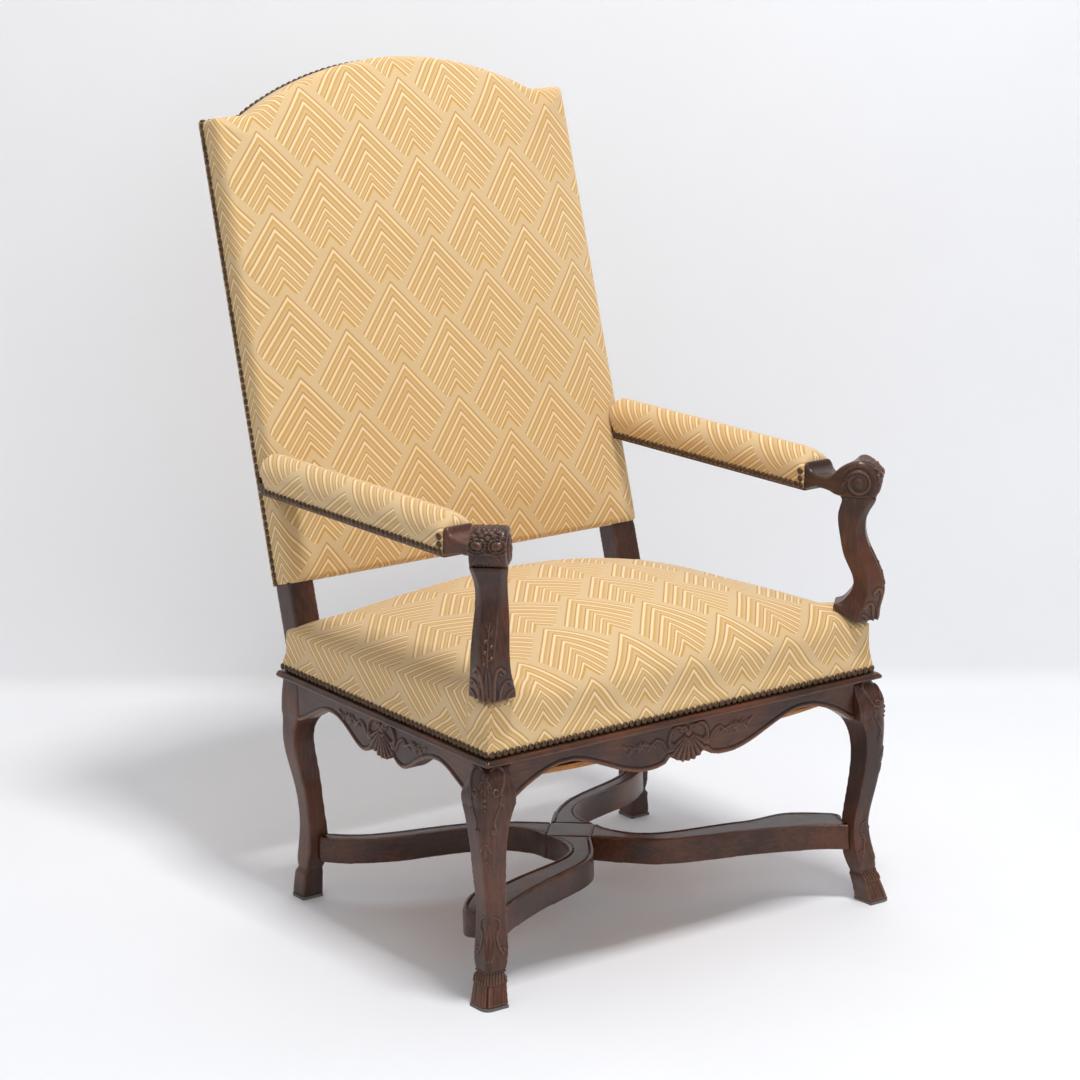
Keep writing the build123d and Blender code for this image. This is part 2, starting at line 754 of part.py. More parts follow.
def support_section(share, back, ahead, half_width, nose, grow=0.0):
    """Level six-sided section of an arm support, its nose on the diagonal."""
    axis = (support_x, front + support_y, support_low + share * (arm_low - support_low))
    shoulder = ahead - half_width + nose
    half_outline = [(ahead, nose), (shoulder, half_width), (back, support_flank * half_width)]
    with BuildSketch(Plane(origin=axis, x_dir=outward, z_dir=(0, 0, 1))) as section:
        with BuildLine():
            Polyline(*half_outline, *[(out, -side) for out, side in reversed(half_outline)], close=True)
        make_face()
        if grow:
            offset(amount=grow, kind=Kind.INTERSECTION)
    return section.sketch


# Arm supports, tenoned into the front legs and dowelled into the scrolls
with BuildPart() as arm_support_right:
    loft([support_section(*station) for station in support_curve])
    support_foot = Plane(origin=(*support_tenon_at, support_low))
    extrude(
        rectangle_on(support_foot, support_tenon, support_tenon),
        amount=rail_top - support_low - support_tenon_deep,
    )
    with BuildSketch(Plane(origin=dowel_at)):
        Circle(dowel_radius)
    extrude(amount=dowel_long)
arm_support_left = twin(arm_support_right)

# Stretcher's centre block and its four arms
centre_edge = (centre_half_x / 2, centre_half_y / 2)
front_centre_seat = stretcher_seat(centre_edge[0], -centre_edge[1], (-centre_half_y, centre_half_x))
back_centre_seat = stretcher_seat(centre_edge[0], centre_edge[1], (-centre_half_y, -centre_half_x))
with BuildPart() as stretcher_centre:
    with BuildSketch(stretcher_top):
        Polygon((centre_half_x, 0), (0, centre_half_y), (0, -centre_half_y), align=None)
    extrude(amount=-stretcher_thick)
    for seat in (front_centre_seat, back_centre_seat):
        mortise = rectangle_on(seat, centre_tenon_width + 2 * play, centre_tenon_high + 2 * play)
        extrude(mortise, amount=centre_tenon_long + play, mode=Mode.SUBTRACT)
    mirror(about=Plane.YZ)


def stretcher_arm(near, far, end, ahead, seats):
    """One right arm of the stretcher, with a tenon at each end."""
    centre_seat, foot_seat = seats
    end_half = foot_set * half_root
    near_end = (end[0] - end_half, end[1] + ahead * end_half)
    far_end = (end[0] + end_half, end[1] - ahead * end_half)
    near_points = [(across, ahead * along) for across, along in near]
    far_points = [(across, ahead * along) for across, along in far]
    with BuildPart() as arm:
        with BuildSketch(stretcher_top):
            with BuildLine():
                Line((centre_half_x, 0), (0, ahead * centre_half_y))
                Spline((0, ahead * centre_half_y), *near_points, near_end)
                Line(near_end, far_end)
                Spline(far_end, *far_points, (centre_half_x, 0))
            make_face()
        extrude(amount=-stretcher_thick)
        foot_tenon = rectangle_on(foot_seat, foot_tenon_width, foot_tenon_high)
        extrude(foot_tenon, amount=foot_tenon_long)
        centre_tenon = rectangle_on(centre_seat, centre_tenon_width, centre_tenon_high)
        extrude(centre_tenon, amount=centre_tenon_long)
    return arm


stretcher_front_right = stretcher_arm(
    front_arm_near, front_arm_far, front_foot, -1, (front_centre_seat, front_foot_seat)
)
stretcher_front_left = twin(stretcher_front_right)
stretcher_back_right = stretcher_arm(
    back_arm_near, back_arm_far, back_foot_end, 1, (back_centre_seat, back_foot_seat)
)
stretcher_back_left = twin(stretcher_back_right)

# Seat webbing: straps from front to back, and straps from side to side over them
web_low = rail_top - web_drop
web_middle = (front_inside + back_inside) / 2
web_places = [(index - (web_count - 1) / 2) * web_pitch for index in range(web_count)]
with BuildPart() as seat_webbing:
    with BuildSketch(Plane(origin=(0, front + web_middle, web_low))):
        with Locations(*[(place, 0) for place in web_places]):
            Rectangle(web_width, back_inside - front_inside)
    extrude(amount=web_thick)
    for place in web_places[:-1]:
        near = web_middle + place + web_pitch / 2 - web_width / 2
        far = near + web_width
        strap = [
            (rail_half(near) - rail_thick, front + near),
            (rail_half(far) - rail_thick, front + far),
            (rail_thick - rail_half(far), front + far),
            (rail_thick - rail_half(near), front + near),
        ]
        extrude(flat_outline(strap, web_low + web_thick + soft_gap), amount=web_thick)

# Seat springs standing on the webbing, under a canvas
spring_low = web_low + 2 * web_thick + 2 * soft_gap
canvas_low = rail_top + spring_room - canvas_thick - soft_gap
spring_high = canvas_low - spring_low
with BuildPart() as one_spring:
    with BuildLine() as coil:
        Helix((spring_high - spring_wire) / spring_turns, spring_high - spring_wire, spring_radius)
    with BuildSketch(Plane(origin=coil.line @ 0, z_dir=coil.line % 0)):
        Circle(spring_wire / 2)
    sweep(path=coil.line, is_frenet=True)
spring_places = [
    (across * spring_pitch_x, front + web_middle + along * spring_pitch_y, spring_low + spring_wire / 2)
    for across in (-1, 0, 1)
    for along in (-1, 0, 1)
]
with BuildPart() as seat_springs:
    with Locations(*spring_places):
        add(one_spring.part)

room_back = border_back - roll_back
room_front = moulding_reach + roll_front
room_half = seat_front_width / 2 - moulding_reach - roll_side
with BuildPart() as spring_canvas:
    with BuildSketch(Plane(origin=(0, front + (room_front + room_back) / 2, canvas_low))):
        Rectangle(2 * (room_half - soft_gap), room_back - room_front - 2 * soft_gap)
    extrude(amount=canvas_thick)


def seat_dome(grow, base):
    """The seat cushion's crowned form, grown all round, down to a height."""
    sections = []
    depth = border_back - moulding_reach + 2 * grow
    for share in crown_shares:
        swell = 1 - abs(2 * share - 1) ** seat_crown_power
        edge = seat_front_edge + (seat_edge - seat_front_edge) * min(1, swell * edge_quickness)
        crown = edge + crown_least + (seat_peak - seat_edge - crown_least) * swell
        behind = moulding_reach - grow + share * depth
        plane = Plane(origin=(0, front + behind, 0), x_dir=(1, 0, 0), z_dir=(0, -1, 0))
        sections.append(
            domed_section(
                plane,
                rail_half(behind) + grow,
                base,
                rail_top + edge + grow,
                rail_top + crown + grow,
                seat_shoulder,
            )
        )
    with BuildPart() as dome:
        loft(sections, ruled=True)
    return dome.part


def seat_cuts():
    """Room in the cushion for the supports, their tenons and the stiles, on both sides."""
    tenon_middle = Plane(origin=(*support_tenon_at, rail_top - cut_gap))
    stile_low_middle = back_foot + (rail_top - back_low) * math.tan(math.radians(back_rake))
    with BuildPart() as cuts:
        extrude(support_section(*support_curve[0], grow=cut_gap), amount=cut_reach)
        tenon_side = support_tenon + 2 * cut_gap
        extrude(rectangle_on(tenon_middle, tenon_side, tenon_side), amount=cut_reach)
        stile_width = back_low_half - stile_inner
        stile_middle = (back_low_half + stile_inner) / 2
        stile_foot = Plane(origin=(stile_middle, front + stile_low_middle, rail_top - cut_gap))
        extrude(
            rectangle_on(stile_foot, stile_width + 4 * cut_gap, stile_depth + 2 * cut_gap),
            amount=cut_reach,
            dir=(0, sin_rake, cos_rake),
        )
        mirror(about=Plane.YZ)
    return cuts.part


# Seat stuffing, hollow over the springs, and its cover
cushion_cuts = seat_cuts()
with BuildPart() as seat_stuffing:
    add(seat_dome(0, rail_top))
    with BuildSketch(Plane(origin=(0, front + (room_front + room_back) / 2, rail_top))):
        Rectangle(2 * room_half, room_back - room_front)
    extrude(amount=spring_room, mode=Mode.SUBTRACT)
    add(cushion_cuts, mode=Mode.SUBTRACT)

with BuildPart() as seat_cover:
    add(seat_dome(cover_grow, rail_top))
    add(seat_dome(soft_gap, rail_top - seat_shoulder), mode=Mode.SUBTRACT)
    add(cushion_cuts, mode=Mode.SUBTRACT)

# Bottom cloth, sagging between the rails
with BuildPart() as bottom_cloth:
    cloth_plan = [
        (rail_half(side_front_y) - rail_thick, front + side_front_y),
        (rail_half(side_back_y) - rail_thick, front + side_back_y),
        (back_rail_half, front + side_back_y),
        (back_rail_half, front + back_inside),
        (-back_rail_half, front + back_inside),
        (-back_rail_half, front + side_back_y),
        (rail_thick - rail_half(side_back_y), front + side_back_y),
        (rail_thick - rail_half(side_front_y), front + side_front_y),
        (-apron_half, front + side_front_y),
        (-apron_half, front + front_inside),
        (apron_half, front + front_inside),
        (apron_half, front + side_front_y),
    ]
    extrude(flat_outline(cloth_plan, rail_top - cloth_sag - cloth_thick), amount=cloth_sag)
    cloth_centre = (0, front + side_middle, rail_top - cloth_sag + cloth_radius)
    with Locations(cloth_centre):
        Sphere(cloth_radius, mode=Mode.INTERSECT)
        Sphere(cloth_radius - cloth_thick, mode=Mode.SUBTRACT)

# Back webbing: upright straps, and straps across over them
with BuildPart() as back_webbing:
    upright_low = low_rail_start + low_rail_high - back_web_lap
    upright_high = crest_low + back_web_lap
    upright_middle = (upright_low + upright_high) / 2
    upright_first = -(back_web_count - 1) / 2 * back_web_pitch_x
    upright_places = [
        (upright_first + index * back_web_pitch_x, upright_middle) for index in range(back_web_count)
    ]
    with BuildSketch(back_plane(frame_half)):
        with Locations(*upright_places):
            Rectangle(web_width, upright_high - upright_low)
    extrude(amount=back_web_thick)
    across_places = [(0, back_web_low + index * back_web_pitch_v) for index in range(back_web_count)]
    with BuildSketch(back_plane(frame_half + back_web_thick + soft_gap)):
        with Locations(*across_places):
            Rectangle(2 * (stile_inner + back_web_lap), web_width)
    extrude(amount=back_web_thick)


def back_dome(grow, base):
    """The back cushion's crowned form within its outline, from a distance before mid thickness."""
    edge = frame_half + back_edge
    half_width = max(back_low_half, back_top_half) + grow
    rise = back_rise + crown_spare + 2 * grow
    sections = []
    for share in crown_shares:
        swell = 1 - abs(2 * share - 1) ** back_crown_power
        sections.append(
            domed_section(
                back_level(share * rise - grow),
                half_width,
                base,
                edge + grow,
                edge + crown_least + (back_peak - back_edge - crown_least) * swell + grow,
                back_shoulder,
            )
        )
    with BuildPart() as dome:
        loft(sections, ruled=True)
        extrude(back_outline(base, grow, -grow), amount=cut_reach, mode=Mode.INTERSECT)
    return dome.part


def back_cuts(gap):
    """Room in the back's upholstery for the stiles below it and the arms, on both sides."""
    with BuildPart() as cuts:
        with BuildSketch(Plane(origin=(arm_middle, front + back_foot, arm_low - gap))):
            Rectangle(arm_width + 2 * gap, cut_reach)
        extrude(amount=arm_thick + 2 * gap)
        with BuildSketch(back_level(-cover_grow - gap)):
            with Locations(((stile_inner + back_low_half) / 2, 0)):
                Rectangle(back_low_half - stile_inner + 2 * soft_gap, 2 * frame_half + 2 * soft_gap)
        extrude(amount=-2 * (cover_grow + gap))
        mirror(about=Plane.YZ)
    return cuts.part


# Back stuffing, its cover round the frame, and the outside back
web_face = frame_half + 2 * back_web_thick + 2 * soft_gap
with BuildPart() as back_stuffing:
    add(back_dome(0, web_face))
    add(back_cuts(cut_gap), mode=Mode.SUBTRACT)

with BuildPart() as back_cover:
    add(back_dome(cover_grow, -frame_half))
    add(back_dome(soft_gap, -stile_depth), mode=Mode.SUBTRACT)
    add(back_cuts(soft_gap), mode=Mode.SUBTRACT)

with BuildPart() as outside_back:
    extrude(back_outline(-frame_half, cover_grow, -cover_grow), amount=-cover_thick)


def arm_pad(grow, base, front_grow):
    """An arm pad's crowned form, grown all round, down to a height."""
    pad_front = collar_front + collar_long
    half = arm_width / 2 + grow
    wide = half + pad_bulge
    side = arm_low + pad_side
    sections = []
    for along, top in pad_crown:
        behind = front + pad_front + along - (front_grow if along == 0 else 0)
        plane = Plane(origin=(arm_middle, behind, 0), x_dir=(1, 0, 0), z_dir=(0, -1, 0))
        with BuildSketch(plane) as section:
            with BuildLine():
                Polyline((-wide, side), (-half, base), (half, base), (wide, side))
                ThreePointArc((wide, side), (0, arm_low + top + grow), (-wide, side))
            make_face()
        sections.append(section.sketch)
    with BuildPart() as pad:
        loft(sections, ruled=True)
        split(bisect_by=back_plane(frame_half + back_edge + cover_grow + pad_gap_back), keep=Keep.TOP)
    return pad.part


# Arm pads and their covers, which reach down the arm's sides
with BuildPart() as arm_pad_right:
    add(arm_pad(0, arm_low + arm_thick, 0))
arm_pad_left = twin(arm_pad_right)

with BuildPart() as arm_cover_right:
    add(arm_pad(cover_grow, arm_low + skirt_low, 0))
    add(arm_pad(soft_gap, arm_low - skirt_low, cover_grow), mode=Mode.SUBTRACT)
arm_cover_left = twin(arm_cover_right)

# Nails: round heads in close rows along the covers' edges
nail_ball = (nail_radius**2 + nail_high**2) / (2 * nail_high)
nail_angle = math.degrees(math.asin((nail_ball - nail_high) / nail_ball))


def nail_row(start, end, facing):
    """Places of nails along a straight edge."""
    count = max(2, round((end - start).length / nail_pitch))
    sunk = facing.normalized() * (nail_ball - nail_high - nail_lift)
    step = (end - start) / count
    return [Plane(origin=start + step * (index + 0.5) - sunk, z_dir=facing) for index in range(count)]


def nail_heads(places):
    """Nail heads standing on their places."""
    with BuildPart() as heads:
        with Locations(*places):
            Sphere(nail_ball, arc_size1=nail_angle, arc_size2=90, align=None)
    return heads


seat_nail_high = rail_top + nail_edge
nail_face_front = front + moulding_reach - cover_grow
nail_front_half = rail_half(moulding_reach) - nail_radius
side_facing = Vector(along_rail.Y, -along_rail.X, 0).normalized()
side_first = moulding_reach + nail_radius
side_last = border_back - nail_radius
side_start = Vector(rail_half(side_first) + cover_grow, front + side_first, seat_nail_high)
side_end = Vector(rail_half(side_last) + cover_grow, front + side_last, seat_nail_high)
seat_rows = nail_row(
    Vector(-nail_front_half, nail_face_front, seat_nail_high),
    Vector(nail_front_half, nail_face_front, seat_nail_high),
    Vector(0, -1, 0),
)
seat_rows += nail_row(side_start, side_end, side_facing)
seat_rows += nail_row(
    Vector(-side_start.X, side_start.Y, seat_nail_high),
    Vector(-side_end.X, side_end.Y, seat_nail_high),
    Vector(-side_facing.X, side_facing.Y, 0),
)
seat_rows += nail_row(
    Vector(-stile_inner + nail_edge, front + border_back + cover_grow, seat_nail_high),
    Vector(stile_inner - nail_edge, front + border_back + cover_grow, seat_nail_high),
    Vector(0, 1, 0),
)
seat_nails = nail_heads(seat_rows)

nail_back = nail_edge - frame_half
back_rows = []
back_slope = math.atan2(back_low_half - back_top_half, shoulder_rise)
tilt = math.sin(back_slope)
for side in (-1, 1):
    side_low = back_point(side * (back_low_half + cover_grow), 0, nail_back)
    side_high = back_point(side * (back_top_half + cover_grow), shoulder_rise, nail_back)
    facing = Vector(side * math.cos(back_slope), tilt * sin_rake, tilt * cos_rake)
    back_rows += nail_row(side_low, side_high, facing)
    back_rows += nail_row(
        back_point(side * back_top_half, shoulder_rise + cover_grow, nail_back),
        back_point(side * (crest_half + nail_radius), shoulder_rise + cover_grow, nail_back),
        Vector(0, sin_rake, cos_rake),
    )
arch_rise = crest_rise - shoulder_rise
arch_radius = (crest_half**2 + arch_rise**2) / (2 * arch_rise)
arch_half = math.asin(crest_half / arch_radius)
arch_count = round(2 * arch_half * arch_radius / nail_pitch)
arch_middle = crest_rise + cover_grow - arch_radius
for index in range(arch_count):
    angle = ((index + 0.5) / arch_count * 2 - 1) * arch_half
    lift = arch_radius - nail_ball + nail_high + nail_lift
    across = math.sin(angle)
    up = math.cos(angle)
    back_rows.append(
        Plane(
            origin=back_point(across * lift, arch_middle + up * lift, nail_back),
            z_dir=(across, up * sin_rake, up * cos_rake),
        )
    )
back_nails = nail_heads(back_rows)

arm_nail_high = arm_low + skirt_low + nail_edge
pad_lean = math.atan2(pad_bulge, pad_side - skirt_low)
pad_reach = arm_width / 2 + cover_grow + pad_bulge * nail_edge / (pad_side - skirt_low)
pad_nail_start = front + collar_front + collar_long + nail_radius
pad_nail_end = front + back_foot - nail_edge
arm_rows = []
for side in (-1, 1):
    arm_rows += nail_row(
        Vector(arm_middle + side * pad_reach, pad_nail_start, arm_nail_high),
        Vector(arm_middle + side * pad_reach, pad_nail_end, arm_nail_high),
        Vector(side * math.cos(pad_lean), 0, -math.sin(pad_lean)),
    )
arm_nails_right = nail_heads(arm_rows)
arm_nails_left = twin(arm_nails_right)

pieces = {
    "front_leg_left": front_leg_left,
    "front_leg_right": front_leg_right,
    "back_leg_left": back_leg_left,
    "back_leg_right": back_leg_right,
    "felt_pads": felt_pads,
    "front_apron": front_apron,
    "side_apron_left": side_apron_left,
    "side_apron_right": side_apron_right,
    "back_seat_rail": back_seat_rail,
    "front_moulding": front_moulding,
    "side_moulding_left": side_moulding_left,
    "side_moulding_right": side_moulding_right,
    "corner_blocks": corner_blocks,
    "crest_rail": crest_rail,
    "lower_back_rail": lower_back_rail,
    "arm_left": arm_left,
    "arm_right": arm_right,
    "arm_support_left": arm_support_left,
    "arm_support_right": arm_support_right,
    "stretcher_centre": stretcher_centre,
    "stretcher_front_left": stretcher_front_left,
    "stretcher_front_right": stretcher_front_right,
    "stretcher_back_left": stretcher_back_left,
    "stretcher_back_right": stretcher_back_right,
    "seat_webbing": seat_webbing,
    "seat_springs": seat_springs,
    "spring_canvas": spring_canvas,
    "seat_stuffing": seat_stuffing,
    "seat_cover": seat_cover,
    "bottom_cloth": bottom_cloth,
    "back_webbing": back_webbing,
    "back_stuffing": back_stuffing,
    "back_cover": back_cover,
    "outside_back": outside_back,
    "arm_pad_left": arm_pad_left,
    "arm_pad_right": arm_pad_right,
    "arm_cover_left": arm_cover_left,
    "arm_cover_right": arm_cover_right,
    "seat_nails": seat_nails,
    "back_nails": back_nails,
    "arm_nails_left": arm_nails_left,
    "arm_nails_right": arm_nails_right,
}

os.makedirs("parts", exist_ok=True)
for name, piece in pieces.items():
    piece.part.label = name
    export_step(piece.part, f"parts/{name}.step")
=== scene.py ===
import logging
import math
from dataclasses import dataclass
from enum import Enum
from typing import Callable, Iterable, Optional, Sequence, Union

import bmesh
import bpy
import numpy as np
from bpy.types import Material, Mesh, NodeSocket, NodeTree, Object
from mathutils import Matrix, Vector
from mathutils.kdtree import KDTree


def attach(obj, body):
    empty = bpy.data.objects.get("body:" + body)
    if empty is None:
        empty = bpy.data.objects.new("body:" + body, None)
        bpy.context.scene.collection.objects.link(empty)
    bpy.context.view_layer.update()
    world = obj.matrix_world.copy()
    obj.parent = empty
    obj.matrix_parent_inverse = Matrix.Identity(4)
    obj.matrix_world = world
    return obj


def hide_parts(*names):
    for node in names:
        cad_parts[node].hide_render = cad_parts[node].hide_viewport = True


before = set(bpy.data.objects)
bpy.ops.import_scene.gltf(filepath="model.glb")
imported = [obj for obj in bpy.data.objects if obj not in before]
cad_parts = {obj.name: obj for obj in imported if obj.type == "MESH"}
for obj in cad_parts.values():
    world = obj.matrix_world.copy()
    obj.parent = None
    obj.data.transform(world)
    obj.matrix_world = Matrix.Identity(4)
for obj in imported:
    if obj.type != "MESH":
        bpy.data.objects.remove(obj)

log = logging.getLogger("armchair")
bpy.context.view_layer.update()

RGB = tuple[float, float, float]
Spot = tuple[float, float]
Size = tuple[float, float, float]
Points = np.ndarray

# Shared sizes in metres, in the row frame
FRONT = -0.36966  # front edge of the seat moulding
RAIL_TOP = 0.338
RAIL_FRONT = 0.011  # the side rails' front ends, behind the moulding's front edge
RAIL_HALF = 0.329  # half width over them there
RAIL_TAPER = 0.012 / 0.535
RAKE = math.radians(15.4)
RAKE_SINE, RAKE_COSINE = math.sin(RAKE), math.cos(RAKE)
BACK_LOW = 0.459
BACK_FOOT = 0.546  # behind the moulding's front edge
FRAME_HALF = 0.01928  # half of the back frame's thickness
STILE_MIDDLE = 0.286
ARM_MIDDLE = 0.306
ARM_LOW = 0.588
FOOT_LOW = 0.4185  # front of the arm supports' undersides
FOOT_RISE = 0.016  # of the undersides towards the back
FOOT_RUN = (0.006, 0.032)  # where that rise starts, and its length
FOOT_SLANT = 0.040  # out and aside together, on the slanted front faces of a support's foot
FOOT_SIDE = 0.031
FOOT_BACK = 0.028
ROOT_HALF = math.sqrt(0.5)
OUTWARD = Vector((ROOT_HALF, -ROOT_HALF, 0.0))
SIDEWAYS = Vector((ROOT_HALF, ROOT_HALF, 0.0))
FRONT_CORNER = Vector((0.330, FRONT + 0.014, 0.0))
SUPPORT_AXIS = Vector((0.308, FRONT + 0.028, 0.0))
SQUARE = (Vector((1, 0, 0)), Vector((0, 1, 0)), Vector((0, 0, 1)))
RAKED = (
    Vector((1, 0, 0)),
    Vector((0.0, RAKE_SINE, RAKE_COSINE)),
    Vector((0.0, -RAKE_COSINE, RAKE_SINE)),
)


class Side(Enum):
    """A side of the chair as seen from the front, with the sign of its X."""

    LEFT = -1
    RIGHT = 1

    def named(self, stem: str) -> str:
        """A piece's name for this side."""
        return f"{stem}_{self.name.lower()}"


def srgb(red: int, green: int, blue: int) -> RGB:
    """Linear colour of an 8-bit sRGB colour."""

    def linear(value: int) -> float:
        """Linear value of one channel."""
        share = value / 255
        return share / 12.92 if share <= 0.04045 else ((share + 0.055) / 1.055) ** 2.4

    return (linear(red), linear(green), linear(blue))


def smooth(low: float, high: float, values: Points) -> Points:
    """Smooth step from 0 at low to 1 at high."""
    share = np.clip((values - low) / (high - low), 0.0, 1.0)
    return share * share * (3 - 2 * share)


def back_point(across: Points, rise: Points, forward: Points) -> Points:
    """Row-frame points from the back's own frame.

    Args:
        across: distance to the right of the middle.
        rise: distance up the rake from the lower edge.
        forward: distance in front of mid thickness.

    Returns:
        The points, one row each.
    """
    return np.stack(
        [
            across,
            FRONT + BACK_FOOT + rise * RAKE_SINE - forward * RAKE_COSINE,
            BACK_LOW + rise * RAKE_COSINE + forward * RAKE_SINE,
        ],
        axis=-1,
    )


def back_spot(across: float, rise: float, forward: float) -> Vector:
    """One row-frame point from the back's own frame."""
    return Vector(back_point(np.array(across), np.array(rise), np.array(forward)))


def back_frame(points: Points) -> Points:
    """Across, rise and forward of row-frame points."""
    behind = points[:, 1] - FRONT - BACK_FOOT
    above = points[:, 2] - BACK_LOW
    rise = behind * RAKE_SINE + above * RAKE_COSINE
    return np.stack([points[:, 0], rise, above * RAKE_SINE - behind * RAKE_COSINE], axis=-1)


# Shader building


def math_node(operation: str, flipped: bool = False) -> Callable:
    """An operator that adds a Math node.

    Args:
        operation: the node's operation.
        flipped: whether the socket comes second, as in 1 - mask.

    Returns:
        The operator, for the class of wrapped sockets.
    """

    def operator(first: "Value", second: "Number" = 0.0) -> "Value":
        """The node's result."""
        pair = (second, first) if flipped else (first, second)
        return first.shade.node("ShaderNodeMath", {"operation": operation}, dict(enumerate(pair)))

    return operator


class Value:
    """A shader socket whose arithmetic adds Math nodes."""

    def __init__(self, shade: "Shade", socket: NodeSocket) -> None:
        """Keep the socket and the tree it belongs to."""
        self.shade = shade
        self.socket = socket

    __add__ = __radd__ = math_node("ADD")
    __mul__ = __rmul__ = math_node("MULTIPLY")
    __sub__ = math_node("SUBTRACT")
    __rsub__ = math_node("SUBTRACT", flipped=True)
    __truediv__ = math_node("DIVIDE")
    __rtruediv__ = math_node("DIVIDE", flipped=True)
    below = math_node("LESS_THAN")
    above = math_node("GREATER_THAN")
    least = math_node("MINIMUM")
    most = math_node("MAXIMUM")
    sine = math_node("SINE")
    floored = math_node("FLOOR")

    def __neg__(self) -> "Value":
        """Negative."""
        return self * -1.0

    def ramp(self, low: float, high: float, start: float = 0.0, end: float = 1.0) -> "Value":
        """Smooth step between two values, from start to end."""
        return self.shade.node(
            "ShaderNodeMapRange",
            {"interpolation_type": "SMOOTHSTEP"},
            {"Value": self, "From Min": low, "From Max": high, "To Min": start, "To Max": end},
        )


Number = Union[Value, float]


def add_node(
    tree: NodeTree, kind: str, settings: Optional[dict] = None, inputs: Optional[dict] = None
) -> bpy.types.Node:
    """Add a node to a tree.

    Args:
        tree: the shader or geometry tree.
        kind: the node's type.
        settings: its properties, set first; "stops" fills a colour ramp.
        inputs: values or links of its sockets, by name or number.

    Returns:
        The node.
    """
    node = tree.nodes.new(kind)
    for key, value in (settings or {}).items():
        if key == "stops":
            elements = node.color_ramp.elements
            while len(elements) > 1:
                elements.remove(elements[-1])
            elements[0].position = value[0][0]
            elements[0].color = (*value[0][1], 1.0)
            for position, colour in value[1:]:
                elements.new(position).color = (*colour, 1.0)
        else:
            setattr(node, key, value)
    for key, value in (inputs or {}).items():
        socket = node.inputs[key]
        if isinstance(value, Value):
            tree.links.new(value.socket, socket)
        elif isinstance(value, NodeSocket):
            tree.links.new(value, socket)
        elif socket.type == "RGBA" and len(value) == 3:
            socket.default_value = (*value, 1.0)
        else:
            socket.default_value = value
    return node


class Shade:
    """Builds one material's node tree."""

    def __init__(self, name: str) -> None:
        """Start an empty material."""
        self.material = bpy.data.materials.new(name)
        self.material.use_nodes = True
        self.tree = self.material.node_tree
        self.tree.nodes.clear()

    def node(
        self, kind: str, settings: Optional[dict] = None, inputs: Optional[dict] = None,
        output: Union[int, str] = 0,
    ) -> Value:
        """Add a node and give the wanted output of it."""
        return Value(self, add_node(self.tree, kind, settings, inputs).outputs[output])

    def mix(self, factor: Number, first: Union[Value, RGB], second: Union[Value, RGB]) -> Value:
        """A colour between two."""
        return self.node("ShaderNodeMix", {"data_type": "RGBA"}, {0: factor, 6: first, 7: second}, 2)

    def place(self, scale: Size = (1.0, 1.0, 1.0)) -> Value:
        """Object coordinates, scaled."""
        spot = self.node("ShaderNodeTexCoord", output="Object")
        return self.node(
            "ShaderNodeMapping", {"vector_type": "POINT"}, {"Vector": spot, "Scale": scale}
        )

    def parts(self, vector: Value) -> tuple[Value, Value]:
        """The first two parts of a vector."""
        return (
            self.node("ShaderNodeSeparateXYZ", {}, {0: vector}, "X"),
            self.node("ShaderNodeSeparateXYZ", {}, {0: vector}, "Y"),
        )

    def noise(self, spot: Value, scale: float, detail: float = 3.0, rough: float = 0.5) -> Value:
        """Noise between 0 and 1."""
        return self.node(
            "ShaderNodeTexNoise",
            {},
            {"Vector": spot, "Scale": scale, "Detail": detail, "Roughness": rough},
        )

    def bump(self, height: Value, distance: float) -> Value:
        """A bumped normal."""
        return self.node("ShaderNodeBump", {}, {"Height": height, "Distance": distance})

    def finish(self, inputs: dict) -> Material:
        """Add the surface shader and the output."""
        surface = self.node("ShaderNodeBsdfPrincipled", {}, inputs)
        output = self.tree.nodes.new("ShaderNodeOutputMaterial")
        self.tree.links.new(surface.socket, output.inputs["Surface"])
        return self.material


class Grain(Enum):
    """Direction of a wood's grain, as scales across and along it."""

    ALONG_X = (1.0, 9.0, 9.0)
    ALONG_Y = (9.0, 1.0, 9.0)
    ALONG_Z = (9.0, 9.0, 1.0)


